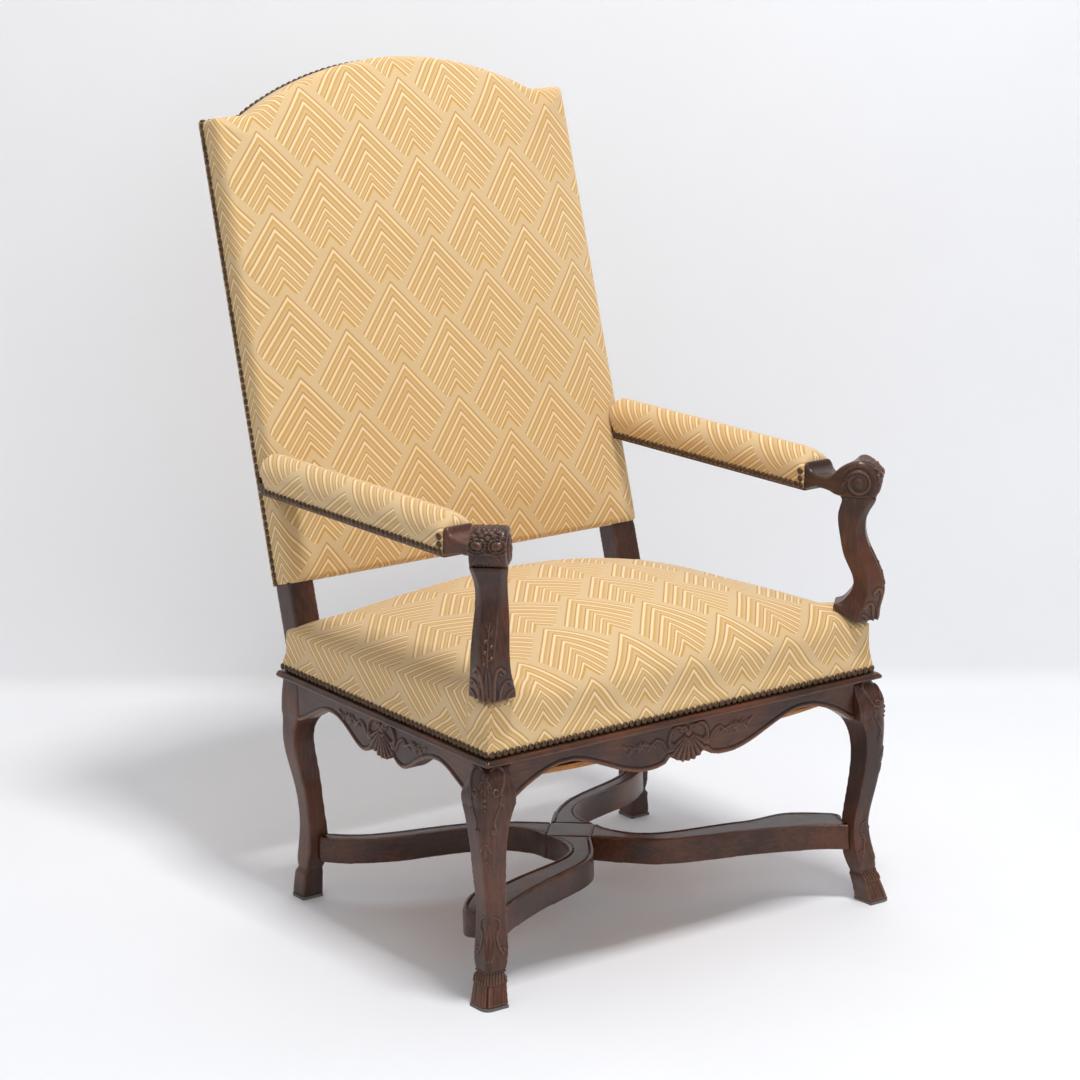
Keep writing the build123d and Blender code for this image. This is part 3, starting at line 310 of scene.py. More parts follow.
@dataclass(frozen=True)
class WoodFinish:
    """Dark waxed wood, worn at the edges and grimy in the hollows."""

    name: str
    grain: Grain
    dark: RGB = srgb(54, 32, 23)
    warm: RGB = srgb(98, 56, 36)
    worn: RGB = srgb(134, 86, 55)
    grime: RGB = srgb(18, 11, 8)
    holes: float = 78.0  # cells to the metre that may hold a worm hole
    bare: float = 0.72  # share of the cells without one
    relief: float = 0.0005

    def material(self) -> Material:
        """The finish as a material that reads the mesh's wear attribute."""
        shade = Shade(self.name)
        spot = shade.place()
        streak = shade.noise(shade.place(self.grain.value), 26.0, 6.0, 0.6)
        patch = shade.noise(spot, 9.0, 3.0)
        blotch = shade.noise(spot, 38.0, 4.0, 0.6)
        wear = shade.node("ShaderNodeAttribute", {"attribute_name": "wear"}, output="Fac")
        warmth = (patch * 0.75 + streak * 0.45 + blotch * 0.2).ramp(0.58, 0.92)
        colour = shade.mix(warmth, self.dark, self.warm)
        rubbed = (wear * (0.3 + blotch)).ramp(0.20, 0.85, 0.0, 0.45)
        colour = shade.mix(rubbed, colour, self.worn)
        dirt = (-wear + blotch * 0.25 - 0.1).ramp(0.10, 0.80, 0.0, 0.75)
        colour = shade.mix(dirt, colour, self.grime)
        cells = {"Vector": spot, "Scale": self.holes, "Randomness": 1.0}
        gap = shade.node("ShaderNodeTexVoronoi", {}, cells, "Distance")
        chance = shade.node("ShaderNodeTexVoronoi", {}, cells, "Color")
        hole = gap.ramp(0.05, 0.085, 1.0, 0.0) * chance.above(self.bare)
        colour = shade.mix(hole, colour, self.grime)
        height = streak * 0.5 + blotch * 0.35 - hole * 1.5
        surface = {
            "Base Color": colour,
            "Roughness": (streak * 0.25 + blotch * 0.2 + dirt * 0.2 - rubbed * 0.08) + 0.18,
            "Specular IOR Level": 0.35,
            "Coat Weight": 0.22,
            "Coat Roughness": 0.10,
            "Normal": shade.bump(height, self.relief),
        }
        return shade.finish(surface)


@dataclass(frozen=True)
class ChevronCloth:
    """Yellow upholstery cloth with nested chevrons, drawn on the piece's UV map in metres."""

    name: str
    ground: RGB = srgb(217, 188, 142)
    cream: RGB = srgb(238, 214, 170)
    ochre: RGB = srgb(184, 120, 30)
    gold: RGB = srgb(204, 158, 82)
    stitched: RGB = srgb(248, 232, 194)
    soiled: RGB = srgb(196, 152, 96)
    hollow: RGB = srgb(190, 145, 84)  # between the threads
    across: float = 0.1672  # repeat across, two staggered columns
    down: float = 0.1175  # repeat down
    limb_across: float = 0.057
    limb_down: float = 0.070
    apexes: tuple[float, ...] = (0.0, 0.143, 0.293, 0.421, 0.529, 0.636)
    broad: int = 3  # outer chevrons with full width
    narrow: float = 0.72  # width of the others
    margin: float = 0.02  # of the ramps before the first apex
    drift: float = 0.004  # of the threads from straight
    dots: float = 225.0  # stitch dots along a limb, in radians
    threads: float = 5200.0  # in radians to the metre
    flat_height: float = 0.45
    relief: float = 0.00016

    def stops(self) -> tuple[list, list]:
        """Stops of the colour and height ramps across the nested chevrons."""
        colours = []
        heights = []
        for index, apex in enumerate(self.apexes):
            fine = 1.0 if index < self.broad else self.narrow
            for offset, colour, height in (
                (-0.014 * fine, self.ground, 0.3),
                (0.006 * fine, self.ochre, 0.2),
                (0.026 * fine, self.cream, 1.0),
                (0.048 * fine, self.cream, 1.0),
                (0.068 * fine, self.gold, 0.2),
            ):
                colours.append((apex + offset + self.margin, colour))
                heights.append((apex + offset + self.margin, (height,) * 3))
        return colours, heights

    def material(self) -> Material:
        """The cloth as a material."""
        shade = Shade(self.name)
        across, up = shade.parts(shade.node("ShaderNodeUVMap", {"uv_map": "cloth"}))
        wander = shade.noise(shade.place(), 5.0, 2.0)
        across = across + (wander - 0.5) * self.drift
        colours, heights = self.stops()
        colour = self.ground
        relief = self.flat_height
        stitch = -1.0
        for column in (0.0, 0.5):
            turn = across / self.across + column
            side = (turn - (turn + 0.5).floored()) * self.across
            fall = column - up / self.down
            drop = (fall - fall.floored()) * self.down
            right = drop * (0.5 / self.limb_down) + side * (0.5 / self.limb_across)
            left = drop * (0.5 / self.limb_down) - side * (0.5 / self.limb_across)
            depth = right.least(left)
            reach = right.most(left)
            inside = depth.above(-0.016) * reach.below(1.015) * depth.below(0.72)
            place = {"Fac": depth + self.margin}
            drawn = shade.node("ShaderNodeValToRGB", {"stops": colours}, place, "Color")
            raised = shade.node("ShaderNodeValToRGB", {"stops": heights}, place, "Color")
            dots = ((reach * self.dots).sine() * 0.5 + 0.5) * (raised - 0.3)
            colour = shade.mix(inside, colour, drawn)
            relief = inside * raised + (1 - inside) * relief
            stitch = (inside * dots).most(stitch)
        weave = (across * self.threads).sine() * (up * self.threads).sine() * 0.5 + 0.5
        soil = shade.noise(shade.place(), 6.0, 4.0, 0.55)
        colour = shade.mix((soil - 0.45).ramp(0.0, 0.5, 0.0, 0.25), colour, self.soiled)
        colour = shade.mix(stitch * 0.45, colour, self.stitched)
        colour = shade.mix(weave * 0.12, colour, self.hollow)
        height = relief * 0.6 + weave * 0.25 + stitch * 0.5
        surface = {
            "Base Color": colour,
            "Roughness": 0.86 - relief * 0.1,
            "Sheen Weight": 0.25,
            "Sheen Roughness": 0.5,
            "Specular IOR Level": 0.25,
            "Normal": shade.bump(height, self.relief),
        }
        return shade.finish(surface)


@dataclass(frozen=True)
class PlainFinish:
    """A simple finish with mottled colour, for metal, felt, paper and hidden wood."""

    name: str
    first: RGB
    second: RGB
    rough: float
    metal: float = 0.0
    scale: float = 60.0
    relief: float = 0.0004
    stretch: tuple[float, float, float] = (1.0, 1.0, 1.0)

    def material(self) -> Material:
        """The finish as a material."""
        shade = Shade(self.name)
        mottle = shade.noise(shade.place(self.stretch), self.scale, 4.0, 0.6)
        colour = shade.mix(mottle.ramp(0.3, 0.7), self.first, self.second)
        surface = {
            "Base Color": colour,
            "Roughness": mottle * 0.25 + (self.rough - 0.12),
            "Metallic": self.metal,
            "Normal": shade.bump(mottle, self.relief),
        }
        return shade.finish(surface)


@dataclass(frozen=True)
class WovenFinish:
    """A coarse plain weave on object coordinates."""

    name: str
    light: RGB
    deep: RGB
    pitch: float

    def material(self) -> Material:
        """The finish as a material."""
        shade = Shade(self.name)
        spot = shade.place()
        across, along = shade.parts(spot)
        turn = math.pi / self.pitch
        weave = (across * turn).sine() * (along * turn).sine() * 0.5 + 0.5
        slub = shade.noise(spot, 90.0, 4.0, 0.6)
        colour = shade.mix((weave * 0.6 + slub * 0.5).ramp(0.2, 0.9), self.deep, self.light)
        surface = {
            "Base Color": colour,
            "Roughness": slub * 0.1 + 0.85,
            "Normal": shade.bump(weave + slub * 0.5, 0.0008),
        }
        return shade.finish(surface)


# Mesh helpers


def linked(name: str, data: bpy.types.ID) -> Object:
    """An object in the scene for a mesh, light or camera."""
    item = bpy.data.objects.new(name, data)
    bpy.context.scene.collection.objects.link(item)
    return item


def new_object(name: str, points: Iterable, faces: Iterable) -> Object:
    """A linked mesh object from points and faces."""
    mesh = bpy.data.meshes.new(name)
    mesh.from_pydata([tuple(point) for point in points], [], [tuple(face) for face in faces])
    mesh.validate()
    mesh.update()
    return linked(name, mesh)


def read(items: bpy.types.bpy_prop_collection, key: str, wide: int, kind: type = float) -> Points:
    """One property of a mesh's points or edges as rows of an array."""
    flat = np.empty(len(items) * wide, dtype=kind)
    items.foreach_get(key, flat)
    return flat.reshape(-1, wide)


def coordinates(mesh: Mesh) -> Points:
    """The mesh's points."""
    return read(mesh.vertices, "co", 3)


def set_coordinates(mesh: Mesh, points: Points) -> None:
    """Move the mesh's points."""
    mesh.vertices.foreach_set("co", np.ascontiguousarray(points, dtype=np.float64).ravel())
    mesh.update()


def normals(mesh: Mesh) -> Points:
    """The mesh's point normals."""
    return read(mesh.vertices, "normal", 3)


def edge_pairs(mesh: Mesh) -> Points:
    """Point numbers of the mesh's edges."""
    return read(mesh.edges, "vertices", 2, np.int64)


def neighbour_mean(points: Points, pairs: Points) -> Points:
    """Mean of each point's neighbours."""
    total = np.zeros_like(points)
    count = np.zeros(len(points))
    for first, second in ((0, 1), (1, 0)):
        np.add.at(total, pairs[:, first], points[pairs[:, second]])
        np.add.at(count, pairs[:, first], 1.0)
    return total / np.maximum(count, 1.0)[:, None]


def soften(mesh: Mesh, rounds: int, free: Optional[Points] = None) -> None:
    """Smooth the mesh's points.

    Args:
        mesh: the mesh to smooth.
        rounds: how many times.
        free: how far each point may follow its neighbours, 0 to 1.
    """
    points = coordinates(mesh)
    pairs = edge_pairs(mesh)
    share = 0.5 if free is None else 0.5 * free[:, None]
    for _ in range(rounds):
        points = points + (neighbour_mean(points, pairs) - points) * share
    set_coordinates(mesh, points)


def apply_modifiers(piece: Object) -> None:
    """Make the evaluated shape the piece's own mesh."""
    graph = bpy.context.evaluated_depsgraph_get()
    made = bpy.data.meshes.new_from_object(piece.evaluated_get(graph))
    old = piece.data
    piece.modifiers.clear()
    piece.data = made
    bpy.data.meshes.remove(old)
    made.name = piece.name


def remesh(piece: Object, voxel: float) -> None:
    """Voxel remesh a closed piece."""
    modifier = piece.modifiers.new("remesh", "REMESH")
    modifier.mode = "VOXEL"
    modifier.voxel_size = voxel
    modifier.adaptivity = 0.0
    apply_modifiers(piece)


def shade_smooth(piece: Object) -> None:
    """Smooth shading on every face."""
    piece.data.polygons.foreach_set("use_smooth", [True] * len(piece.data.polygons))
    piece.data.update()


def store(mesh: Mesh, name: str, values: Points) -> None:
    """Keep a number for each point."""
    layer = mesh.attributes.new(name, "FLOAT", "POINT")
    layer.data.foreach_set("value", np.ascontiguousarray(values, dtype=np.float32))


def set_uv(mesh: Mesh, flat: Points) -> None:
    """Give the mesh its cloth UV map from a pair of numbers for each point."""
    layer = mesh.uv_layers.new(name="cloth")
    corner = read(mesh.loops, "vertex_index", 1, np.int64)[:, 0]
    layer.data.foreach_set("uv", np.ascontiguousarray(flat[corner], dtype=np.float32).ravel())


def paint(piece: Object, material: Material) -> None:
    """Give the piece one material."""
    piece.data.materials.clear()
    piece.data.materials.append(material)


def seated(piece: Object, nodes: Sequence[str] = ()) -> Object:
    """Tie a finished piece to the frame.

    Args:
        piece: the finished piece.
        nodes: the CAD nodes it stands for.

    Returns:
        The same piece.
    """
    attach(piece, "root")
    if nodes:
        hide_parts(*nodes)
    return piece


def swell(piece: Object, held: Points, cap: float, pressure: float = 4.0, frames: int = 20) -> None:
    """Blow a soft piece up under cloth simulation.

    Args:
        piece: the remeshed piece.
        held: which points are nailed down.
        cap: furthest that a point may move.
        pressure: the simulation's pressure.
        frames: how long it runs.
    """
    group = piece.vertex_groups.new(name="held")
    group.add([int(index) for index in np.nonzero(held)[0]], 1.0, "REPLACE")
    rest = coordinates(piece.data)
    cloth = piece.modifiers.new("cloth", "CLOTH")
    settings = cloth.settings
    settings.use_pressure = True
    settings.uniform_pressure_force = pressure
    settings.effector_weights.gravity = 0.0
    settings.vertex_group_mass = "held"
    settings.quality = 4
    cloth.point_cache.frame_start = 1
    cloth.point_cache.frame_end = frames
    scene = bpy.context.scene
    for number in range(1, frames + 1):
        scene.frame_set(number)
    graph = bpy.context.evaluated_depsgraph_get()
    moved = coordinates(piece.evaluated_get(graph).data)
    piece.modifiers.remove(cloth)
    scene.frame_set(1)
    shift = moved - rest
    length = np.linalg.norm(shift, axis=1, keepdims=True)
    limit = np.minimum(length, cap) / np.maximum(length, 1e-9)
    set_coordinates(piece.data, rest + shift * limit)
    piece.vertex_groups.clear()


def cut_away(piece: Object, cutters: Sequence[Object]) -> None:
    """Cut closed shapes out of a piece and drop them."""
    for cutter in cutters:
        modifier = piece.modifiers.new("cut", "BOOLEAN")
        modifier.operation = "DIFFERENCE"
        modifier.solver = "MANIFOLD"
        modifier.object = cutter
    apply_modifiers(piece)
    for cutter in cutters:
        bpy.data.objects.remove(cutter)


def subdivide(piece: Object) -> None:
    """One applied round of subdivision."""
    modifier = piece.modifiers.new("subdivision", "SUBSURF")
    modifier.levels = 1
    modifier.render_levels = 1
    apply_modifiers(piece)


def tidy_normals(mesh: Mesh, merge: float = 1e-6) -> None:
    """Merge doubles and turn the faces outwards."""
    work = bmesh.new()
    work.from_mesh(mesh)
    bmesh.ops.remove_doubles(work, verts=work.verts, dist=merge)
    bmesh.ops.recalc_face_normals(work, faces=work.faces)
    work.to_mesh(mesh)
    work.free()


def loft(name: str, rings: Sequence[Sequence[Sequence[float]]]) -> Object:
    """A closed piece through rings of equally many points."""
    count = len(rings[0])
    last = (len(rings) - 1) * count
    faces = [tuple(range(count)), tuple(reversed(range(last, last + count)))]
    for base in range(0, last, count):
        for index in range(count):
            after = (index + 1) % count
            faces.append((base + index, base + count + index, base + count + after, base + after))
    piece = new_object(name, [point for ring in rings for point in ring], faces)
    tidy_normals(piece.data)
    return piece


def slab(name: str, outline: Sequence[Spot], low: float, high: float) -> Object:
    """A closed prism over a level outline."""
    return loft(name, [[(x, y, level) for x, y in outline] for level in (low, high)])


def box(middle: Vector, axes: Sequence[Vector], half: Size) -> Object:
    """A closed box to cut with, from its middle, its axes and its half sizes."""
    rings = []
    for up in (-1, 1):
        ring = []
        for along, aside in ((-1, -1), (1, -1), (1, 1), (-1, 1)):
            signs = (along, aside, up)
            ring.append(middle + sum((a * (s * h) for a, s, h in zip(axes, signs, half)), Vector()))
        rings.append(ring)
    return loft("cut", rings)


def slice_off(mesh: Mesh, spot: Vector, way: Vector) -> None:
    """Cut a closed mesh with a plane, drop what lies beyond and close the cut.

    Args:
        mesh: the mesh to cut.
        spot: a point of the plane.
        way: the direction of what is dropped.
    """
    work = bmesh.new()
    work.from_mesh(mesh)
    geom = work.verts[:] + work.edges[:] + work.faces[:]
    cut = bmesh.ops.bisect_plane(work, geom=geom, plane_co=spot, plane_no=way, clear_outer=True)
    edges = [item for item in cut["geom_cut"] if isinstance(item, bmesh.types.BMEdge)]
    bmesh.ops.contextual_create(work, geom=edges)
    work.to_mesh(mesh)
    work.free()


def mirror(mesh: Mesh) -> None:
    """Turn a mesh into its mirror image on the chair's other side."""
    set_coordinates(mesh, coordinates(mesh) * np.array([-1.0, 1.0, 1.0]))
    mesh.flip_normals()


def rail_half(behind: Points) -> Points:
    """Half width over the side rails at a distance behind the front edge."""
    return RAIL_HALF - RAIL_TAPER * (behind - RAIL_FRONT)


# Upholstery


def foot_outline(grow: float) -> list[Spot]:
    """The right arm support's foot, out and aside from its axis, grown all round."""
    half = [(0.033, 0.007), (0.009, 0.031), (-0.028, 0.0192)]
    points = half + [(out, -side) for out, side in reversed(half)]
    return [(out + grow * np.sign(out), side + grow * np.sign(side)) for out, side in points]


def foot_base(out: Points) -> Points:
    """Height of the arm supports' undersides, which rise with the seat towards the back."""
    return FOOT_LOW + FOOT_RISE * smooth(0.0, 1.0, (FOOT_RUN[0] - out) / FOOT_RUN[1])


def upholster(
    piece: Object, cloth: Material, flat: Points, nodes: Sequence[str]
) -> Object:
    """Dress a padded piece in the patterned cloth.

    Args:
        piece: the finished shape.
        cloth: the cover's material.
        flat: the cloth coordinates of its points.
        nodes: the CAD nodes it stands for.

    Returns:
        The same piece.
    """
    set_uv(piece.data, flat)
    shade_smooth(piece)
    paint(piece, cloth)
    seated(piece, nodes)
    return piece


@dataclass
class SeatCushion:
    """The tight, domed seat, with its heights above the rails."""

    cloth: Material
    front: float = 0.0095  # cover's front face, behind the moulding's front edge
    rear: float = 0.5325
    edge: float = 0.077
    front_edge: float = 0.070
    peak: float = 0.139
    power: float = 2.6  # of the dome's curve from front to back
    quickness: float = 4.0  # with which the side edges rise behind the front
    roll: float = 0.012  # extra height just inside the edges
    roll_run: float = 0.014
    roll_fade: float = 0.85  # share of it that is lost towards the back
    fade_run: Spot = (0.08, 0.30)
    fall: float = 0.009  # of the edges towards the back
    fall_run: Spot = (0.28, 0.50)
    crown: float = 0.001  # the least, at front and back
    shoulder: float = 0.020
    overrun: float = 1.15  # of the dome's curve past the shoulders
    grow: float = 0.0015  # past the rails' sides
    gap: float = 0.0005  # over the rails
    slab_top: float = 0.060
    upright: float = 0.012  # lowest part of the sides, which stays as it is
    nailed: float = 0.014
    loose: Spot = (0.008, 0.025)  # heights between which smoothing sets in
    rounds: int = 6
    puff: float = 0.004  # furthest that the cloth swells
    voxel: float = 0.006
    side_turn: float = 0.012  # where the cloth turns down over the sides
    front_turn: float = 0.02
    fan: Spot = (0.052, 0.056)  # where it turns round the front corners
    pattern: Spot = (0.0115, 0.0167)
    settle: float = 0.032  # width of the cloth drawn in round the supports' feet
    tenon: Size = (0.313, 0.031, 0.40)
    tenon_half: Size = (0.0095, 0.0095, 0.09)
    stile_low: float = -0.02
    stile_half: Size = (0.0207, 0.135, 0.0203)

    def top(self, across: Points, behind: Points) -> Points:
        """Height of the seat's top above the rails."""
        share = np.clip((behind - self.front) / (self.rear - self.front), 0.0, 1.0)
        rise = 1 - np.abs(2 * share - 1) ** self.power
        quick = np.minimum(1.0, rise * self.quickness)
        edge = self.front_edge + (self.edge - self.front_edge) * quick
        edge = edge - self.fall * smooth(*self.fall_run, behind)
        inside = np.minimum(behind - self.front, self.rear - behind)
        inside = np.minimum(inside, rail_half(behind) - np.abs(across))
        full = self.roll * (1 - self.roll_fade * smooth(*self.fade_run, behind))
        roll = full * (1 - np.exp(-np.maximum(inside, 0.0) / self.roll_run))
        crown = self.crown + (self.peak - self.edge - full - self.crown) * rise
        aside = np.abs(across) / (rail_half(behind) - self.shoulder)
        return edge + roll + crown * (1 - np.clip(aside, 0.0, self.overrun) ** 2)

    def flat(self, points: Points) -> Points:
        """Cloth coordinates of points on the seat: across, and back from the front.

        The cloth runs down over the front and the sides. At the front corners its threads
        turn with the corner, so that the pattern runs on from the front to the side.
        """
        behind = points[:, 1] - FRONT
        line = np.linspace(self.front, self.rear, 400)
        height = self.top(np.zeros_like(line), line)
        step = np.hypot(np.diff(line), np.diff(height))
        run = np.concatenate([[0.0], np.cumsum(step)])
        along = np.interp(behind, line, run)
        reference = self.top(points[:, 0], np.maximum(behind, self.front))
        drop = np.maximum(0.0, reference + RAIL_TOP - points[:, 2])
        aside = smooth(-self.side_turn, 0.0, np.abs(points[:, 0]) - rail_half(behind))
        ahead = 1 - smooth(self.front, self.front + self.front_turn, behind)
        turned = 1 - smooth(*self.fan, behind - self.front)
        past = np.maximum(0.0, behind - self.front)
        out = aside * (drop * (1 - turned) * (1 - ahead) + past * turned)
        across = points[:, 0] + np.sign(points[:, 0]) * out
        up = along * (1 - aside * turned) - drop * np.maximum(ahead, aside * turned)
        return np.stack([across - self.pattern[0], up - self.pattern[1]], axis=-1)

    def seat_feet(self, points: Points) -> Points:
        """Bring the cloth to the arm supports' undersides, and let it settle round them."""
        moved = points.copy()
        low = RAIL_TOP + self.upright
        reach = self.top(points[:, 0], points[:, 1] - FRONT) + RAIL_TOP
        share = np.clip((points[:, 2] - low) / (reach - low), 0.0, 1.0)
        for side in (-1, 1):
            x = points[:, 0] * side - SUPPORT_AXIS.x
            y = points[:, 1] - SUPPORT_AXIS.y
            out, beside = (x - y) * ROOT_HALF, np.abs(x + y) * ROOT_HALF
            past = np.maximum(out + beside - FOOT_SLANT, beside - FOOT_SIDE)
            past = np.maximum(past, -FOOT_BACK - out)
            near = 1 - smooth(0.0, self.settle, past)
            moved[:, 2] += near * share * (foot_base(out) - reach)
        return moved

    def build(self) -> Object:
        """Model, simulate, cut and dress the seat."""
        lead = rail_half(np.array([self.front, self.rear])) + self.grow
        outline = [
            (-lead[0], FRONT + self.front),
            (lead[0], FRONT + self.front),
            (lead[1], FRONT + self.rear),
            (-lead[1], FRONT + self.rear),
        ]
        piece = slab("seat_cushion", outline, RAIL_TOP + self.gap, RAIL_TOP + self.slab_top)
        remesh(piece, self.voxel)
        points = coordinates(piece.data)
        above = points[:, 2] - RAIL_TOP
        share = np.clip((above - self.upright) / (self.slab_top - self.upright), 0.0, 1.0)
        target = self.top(points[:, 0], points[:, 1] - FRONT)
        points[:, 2] += share * (target - self.slab_top)
        set_coordinates(piece.data, points)
        soften(piece.data, self.rounds, smooth(*self.loose, points[:, 2] - RAIL_TOP))
        points = coordinates(piece.data)
        swell(piece, points[:, 2] < RAIL_TOP + self.nailed, self.puff)
        set_coordinates(piece.data, self.seat_feet(coordinates(piece.data)))
        subdivide(piece)
        cut_away(piece, self.cutters())
        flat = self.flat(coordinates(piece.data))
        return upholster(piece, self.cloth, flat, ("seat_cover", "seat_stuffing"))

    def cutters(self) -> list[Object]:
        """Room for the arm supports' tenons and the stiles."""
        shapes = []
        across, behind, high = self.tenon
        for side in (-1, 1):
            tenon = Vector((side * across, FRONT + behind, high))
            shapes.append(box(tenon, SQUARE, self.tenon_half))
            stile = back_spot(side * STILE_MIDDLE, self.stile_low, 0.0)
            shapes.append(box(stile, RAKED, self.stile_half))
        return shapes


@dataclass
class BackCushion:
    """The high back's cover and stuffing, in the back's own frame."""

    cloth: Material
    grow: float = 0.0030  # past the frame
    low_half: float = 0.306
    top_half: float = 0.300
    shoulder: float = 0.658
    crest_half: float = 0.246
    crest: float = 0.724
    arch_steps: int = 40
    edge: float = 0.0305  # front edge of the sides, before mid thickness
    ease_start: float = 0.016  # where the sides start to round over
    ease: float = 0.014
    ease_steps: int = 6
    bulge: float = 0.022
    power: float = 2.6  # of the bulge's curve from bottom to top
    loose: Spot = (0.016, 0.030)  # where smoothing sets in, before mid thickness
    rounds: int = 4
    nailed: float = FRAME_HALF + 0.0095
    puff: float = 0.004  # furthest that the cloth swells
    voxel: float = 0.006
    side_turn: float = 0.012  # where the cloth turns over the sides
    crest_turn: float = 0.014
    pattern: Spot = (-0.245, 0.5175)
    inner_gap: float = 0.0004
    inner_rear: float = -0.05
    inner_front: float = FRAME_HALF + 0.0012
    arm_rise: float = 0.008
    arm_half: Size = (0.0225, 0.08, 0.0085)
    stile_low: float = -0.01
    stile_half: Size = (0.0209, 0.0121, 0.0199)

    def arch(self) -> Spot:
        """Radius of the crest's arch and half of its angle."""
        rise = self.crest - self.shoulder
        radius = (self.crest_half**2 + rise**2) / (2 * rise)
        return radius, math.asin(self.crest_half / radius)

    def outline(self, grow: float) -> list[Spot]:
        """Outline of the back, across and up the rake."""
        top = self.shoulder + grow
        points = [
            (self.crest_half, top),
            (self.top_half + grow, top),
            (self.low_half + grow, -grow),
            (-self.low_half - grow, -grow),
            (-self.top_half - grow, top),
            (-self.crest_half, top),
        ]
        radius, half = self.arch()
        middle = self.crest + grow - radius
        for step in range(1, self.arch_steps):
            angle = -half + 2 * half * step / self.arch_steps
            points.append((radius * math.sin(angle), middle + radius * math.cos(angle)))
        return points

    def crest_line(self, across: Points) -> Points:
        """Top of the outline at a distance from the middle."""
        radius, _ = self.arch()
        arch = self.crest - radius + np.sqrt(np.maximum(radius**2 - across**2, 0.0))
        return np.where(np.abs(across) < self.crest_half, arch, self.shoulder)

    def crown(self, across: Points, rise: Points) -> Points:
        """How far the front stands out from its edges."""
        share = np.clip(rise / self.crest, 0.0, 1.0)
        height = 1 - np.abs(2 * share - 1) ** self.power
        return self.bulge * height * (1 - np.clip(np.abs(across) / self.low_half, 0.0, 1.0) ** 2)

    def flat(self, points: Points) -> Points:
        """Cloth coordinates of points on the back: across, and up."""
        across, rise, forward = back_frame(points).T
        half = self.low_half + (self.top_half - self.low_half) * rise / self.shoulder
        aside = smooth(-self.side_turn, 0.0, np.abs(across) - half)
        drop = np.maximum(0.0, self.edge - forward)
        side = across + np.sign(across) * aside * drop
        over = smooth(-self.crest_turn, 0.0, rise - self.crest_line(across)) * (1 - aside)
        return np.stack([side - self.pattern[0], rise + over * drop - self.pattern[1]], axis=-1)

    def block(self) -> Object:
        """The back's flat-fronted block with its front edge rounded over."""
        levels = [(-FRAME_HALF, 0.0)]
        for step in range(self.ease_steps + 1):
            turn = math.pi / 2 * step / self.ease_steps
            level = self.ease_start + (self.edge - self.ease_start) * math.sin(turn)
            levels.append((level, self.ease * (1 - math.cos(turn))))
        rings = []
        for level, inset in levels:
            rings.append([(x, y, level) for x, y in self.outline(self.grow - inset)])
        return loft("back_cushion", rings)

    def build(self) -> Object:
        """Model, simulate, cut and dress the back."""
        piece = self.block()
        remesh(piece, self.voxel)
        points = coordinates(piece.data)
        share = np.clip(points[:, 2] / self.edge, 0.0, 1.0)
        points[:, 2] += share * self.crown(points[:, 0], points[:, 1])
        set_coordinates(piece.data, points)
        soften(piece.data, self.rounds, smooth(*self.loose, points[:, 2]))
        local = coordinates(piece.data)
        set_coordinates(piece.data, back_point(*local.T))
        swell(piece, local[:, 2] < self.nailed, self.puff)
        subdivide(piece)
        cut_away(piece, self.cutters())
        flat = self.flat(coordinates(piece.data))
        return upholster(piece, self.cloth, flat, ("back_cover", "back_stuffing"))

    def cutters(self) -> list[Object]:
        """Room for the frame, the arms and the stiles below."""
        inner = slab("cut", self.outline(-self.inner_gap), self.inner_rear, self.inner_front)
        set_coordinates(inner.data, back_point(*coordinates(inner.data).T))
        shapes = [inner]
        for side in (-1, 1):
            arm = Vector((side * ARM_MIDDLE, FRONT + BACK_FOOT, ARM_LOW + self.arm_rise))
            shapes.append(box(arm, SQUARE, self.arm_half))
            stile = back_spot(side * STILE_MIDDLE, self.stile_low, 0.0)
            shapes.append(box(stile, RAKED, self.stile_half))
        return shapes


@dataclass
class OutsideBack:
    """The cloth panel behind the back."""

    cloth: Material
    cushion: BackCushion
    thick: float = 0.002
    gap: float = 0.0002  # behind the frame

    def build(self) -> Object:
        """Model and dress the panel."""
        outline = self.cushion.outline(self.cushion.grow)
        rear = -FRAME_HALF - self.thick
        piece = slab("outside_back_cloth", outline, rear, -FRAME_HALF - self.gap)
        work = bmesh.new()
        work.from_mesh(piece.data)
        bmesh.ops.triangulate(work, faces=[face for face in work.faces if len(face.verts) > 4])
        work.to_mesh(piece.data)
        work.free()
        local = coordinates(piece.data)
        set_coordinates(piece.data, back_point(*local.T))
        set_uv(piece.data, local[:, :2] - np.array(self.cushion.pattern))
        paint(piece, self.cloth)
        seated(piece, ("outside_back",))
        return piece


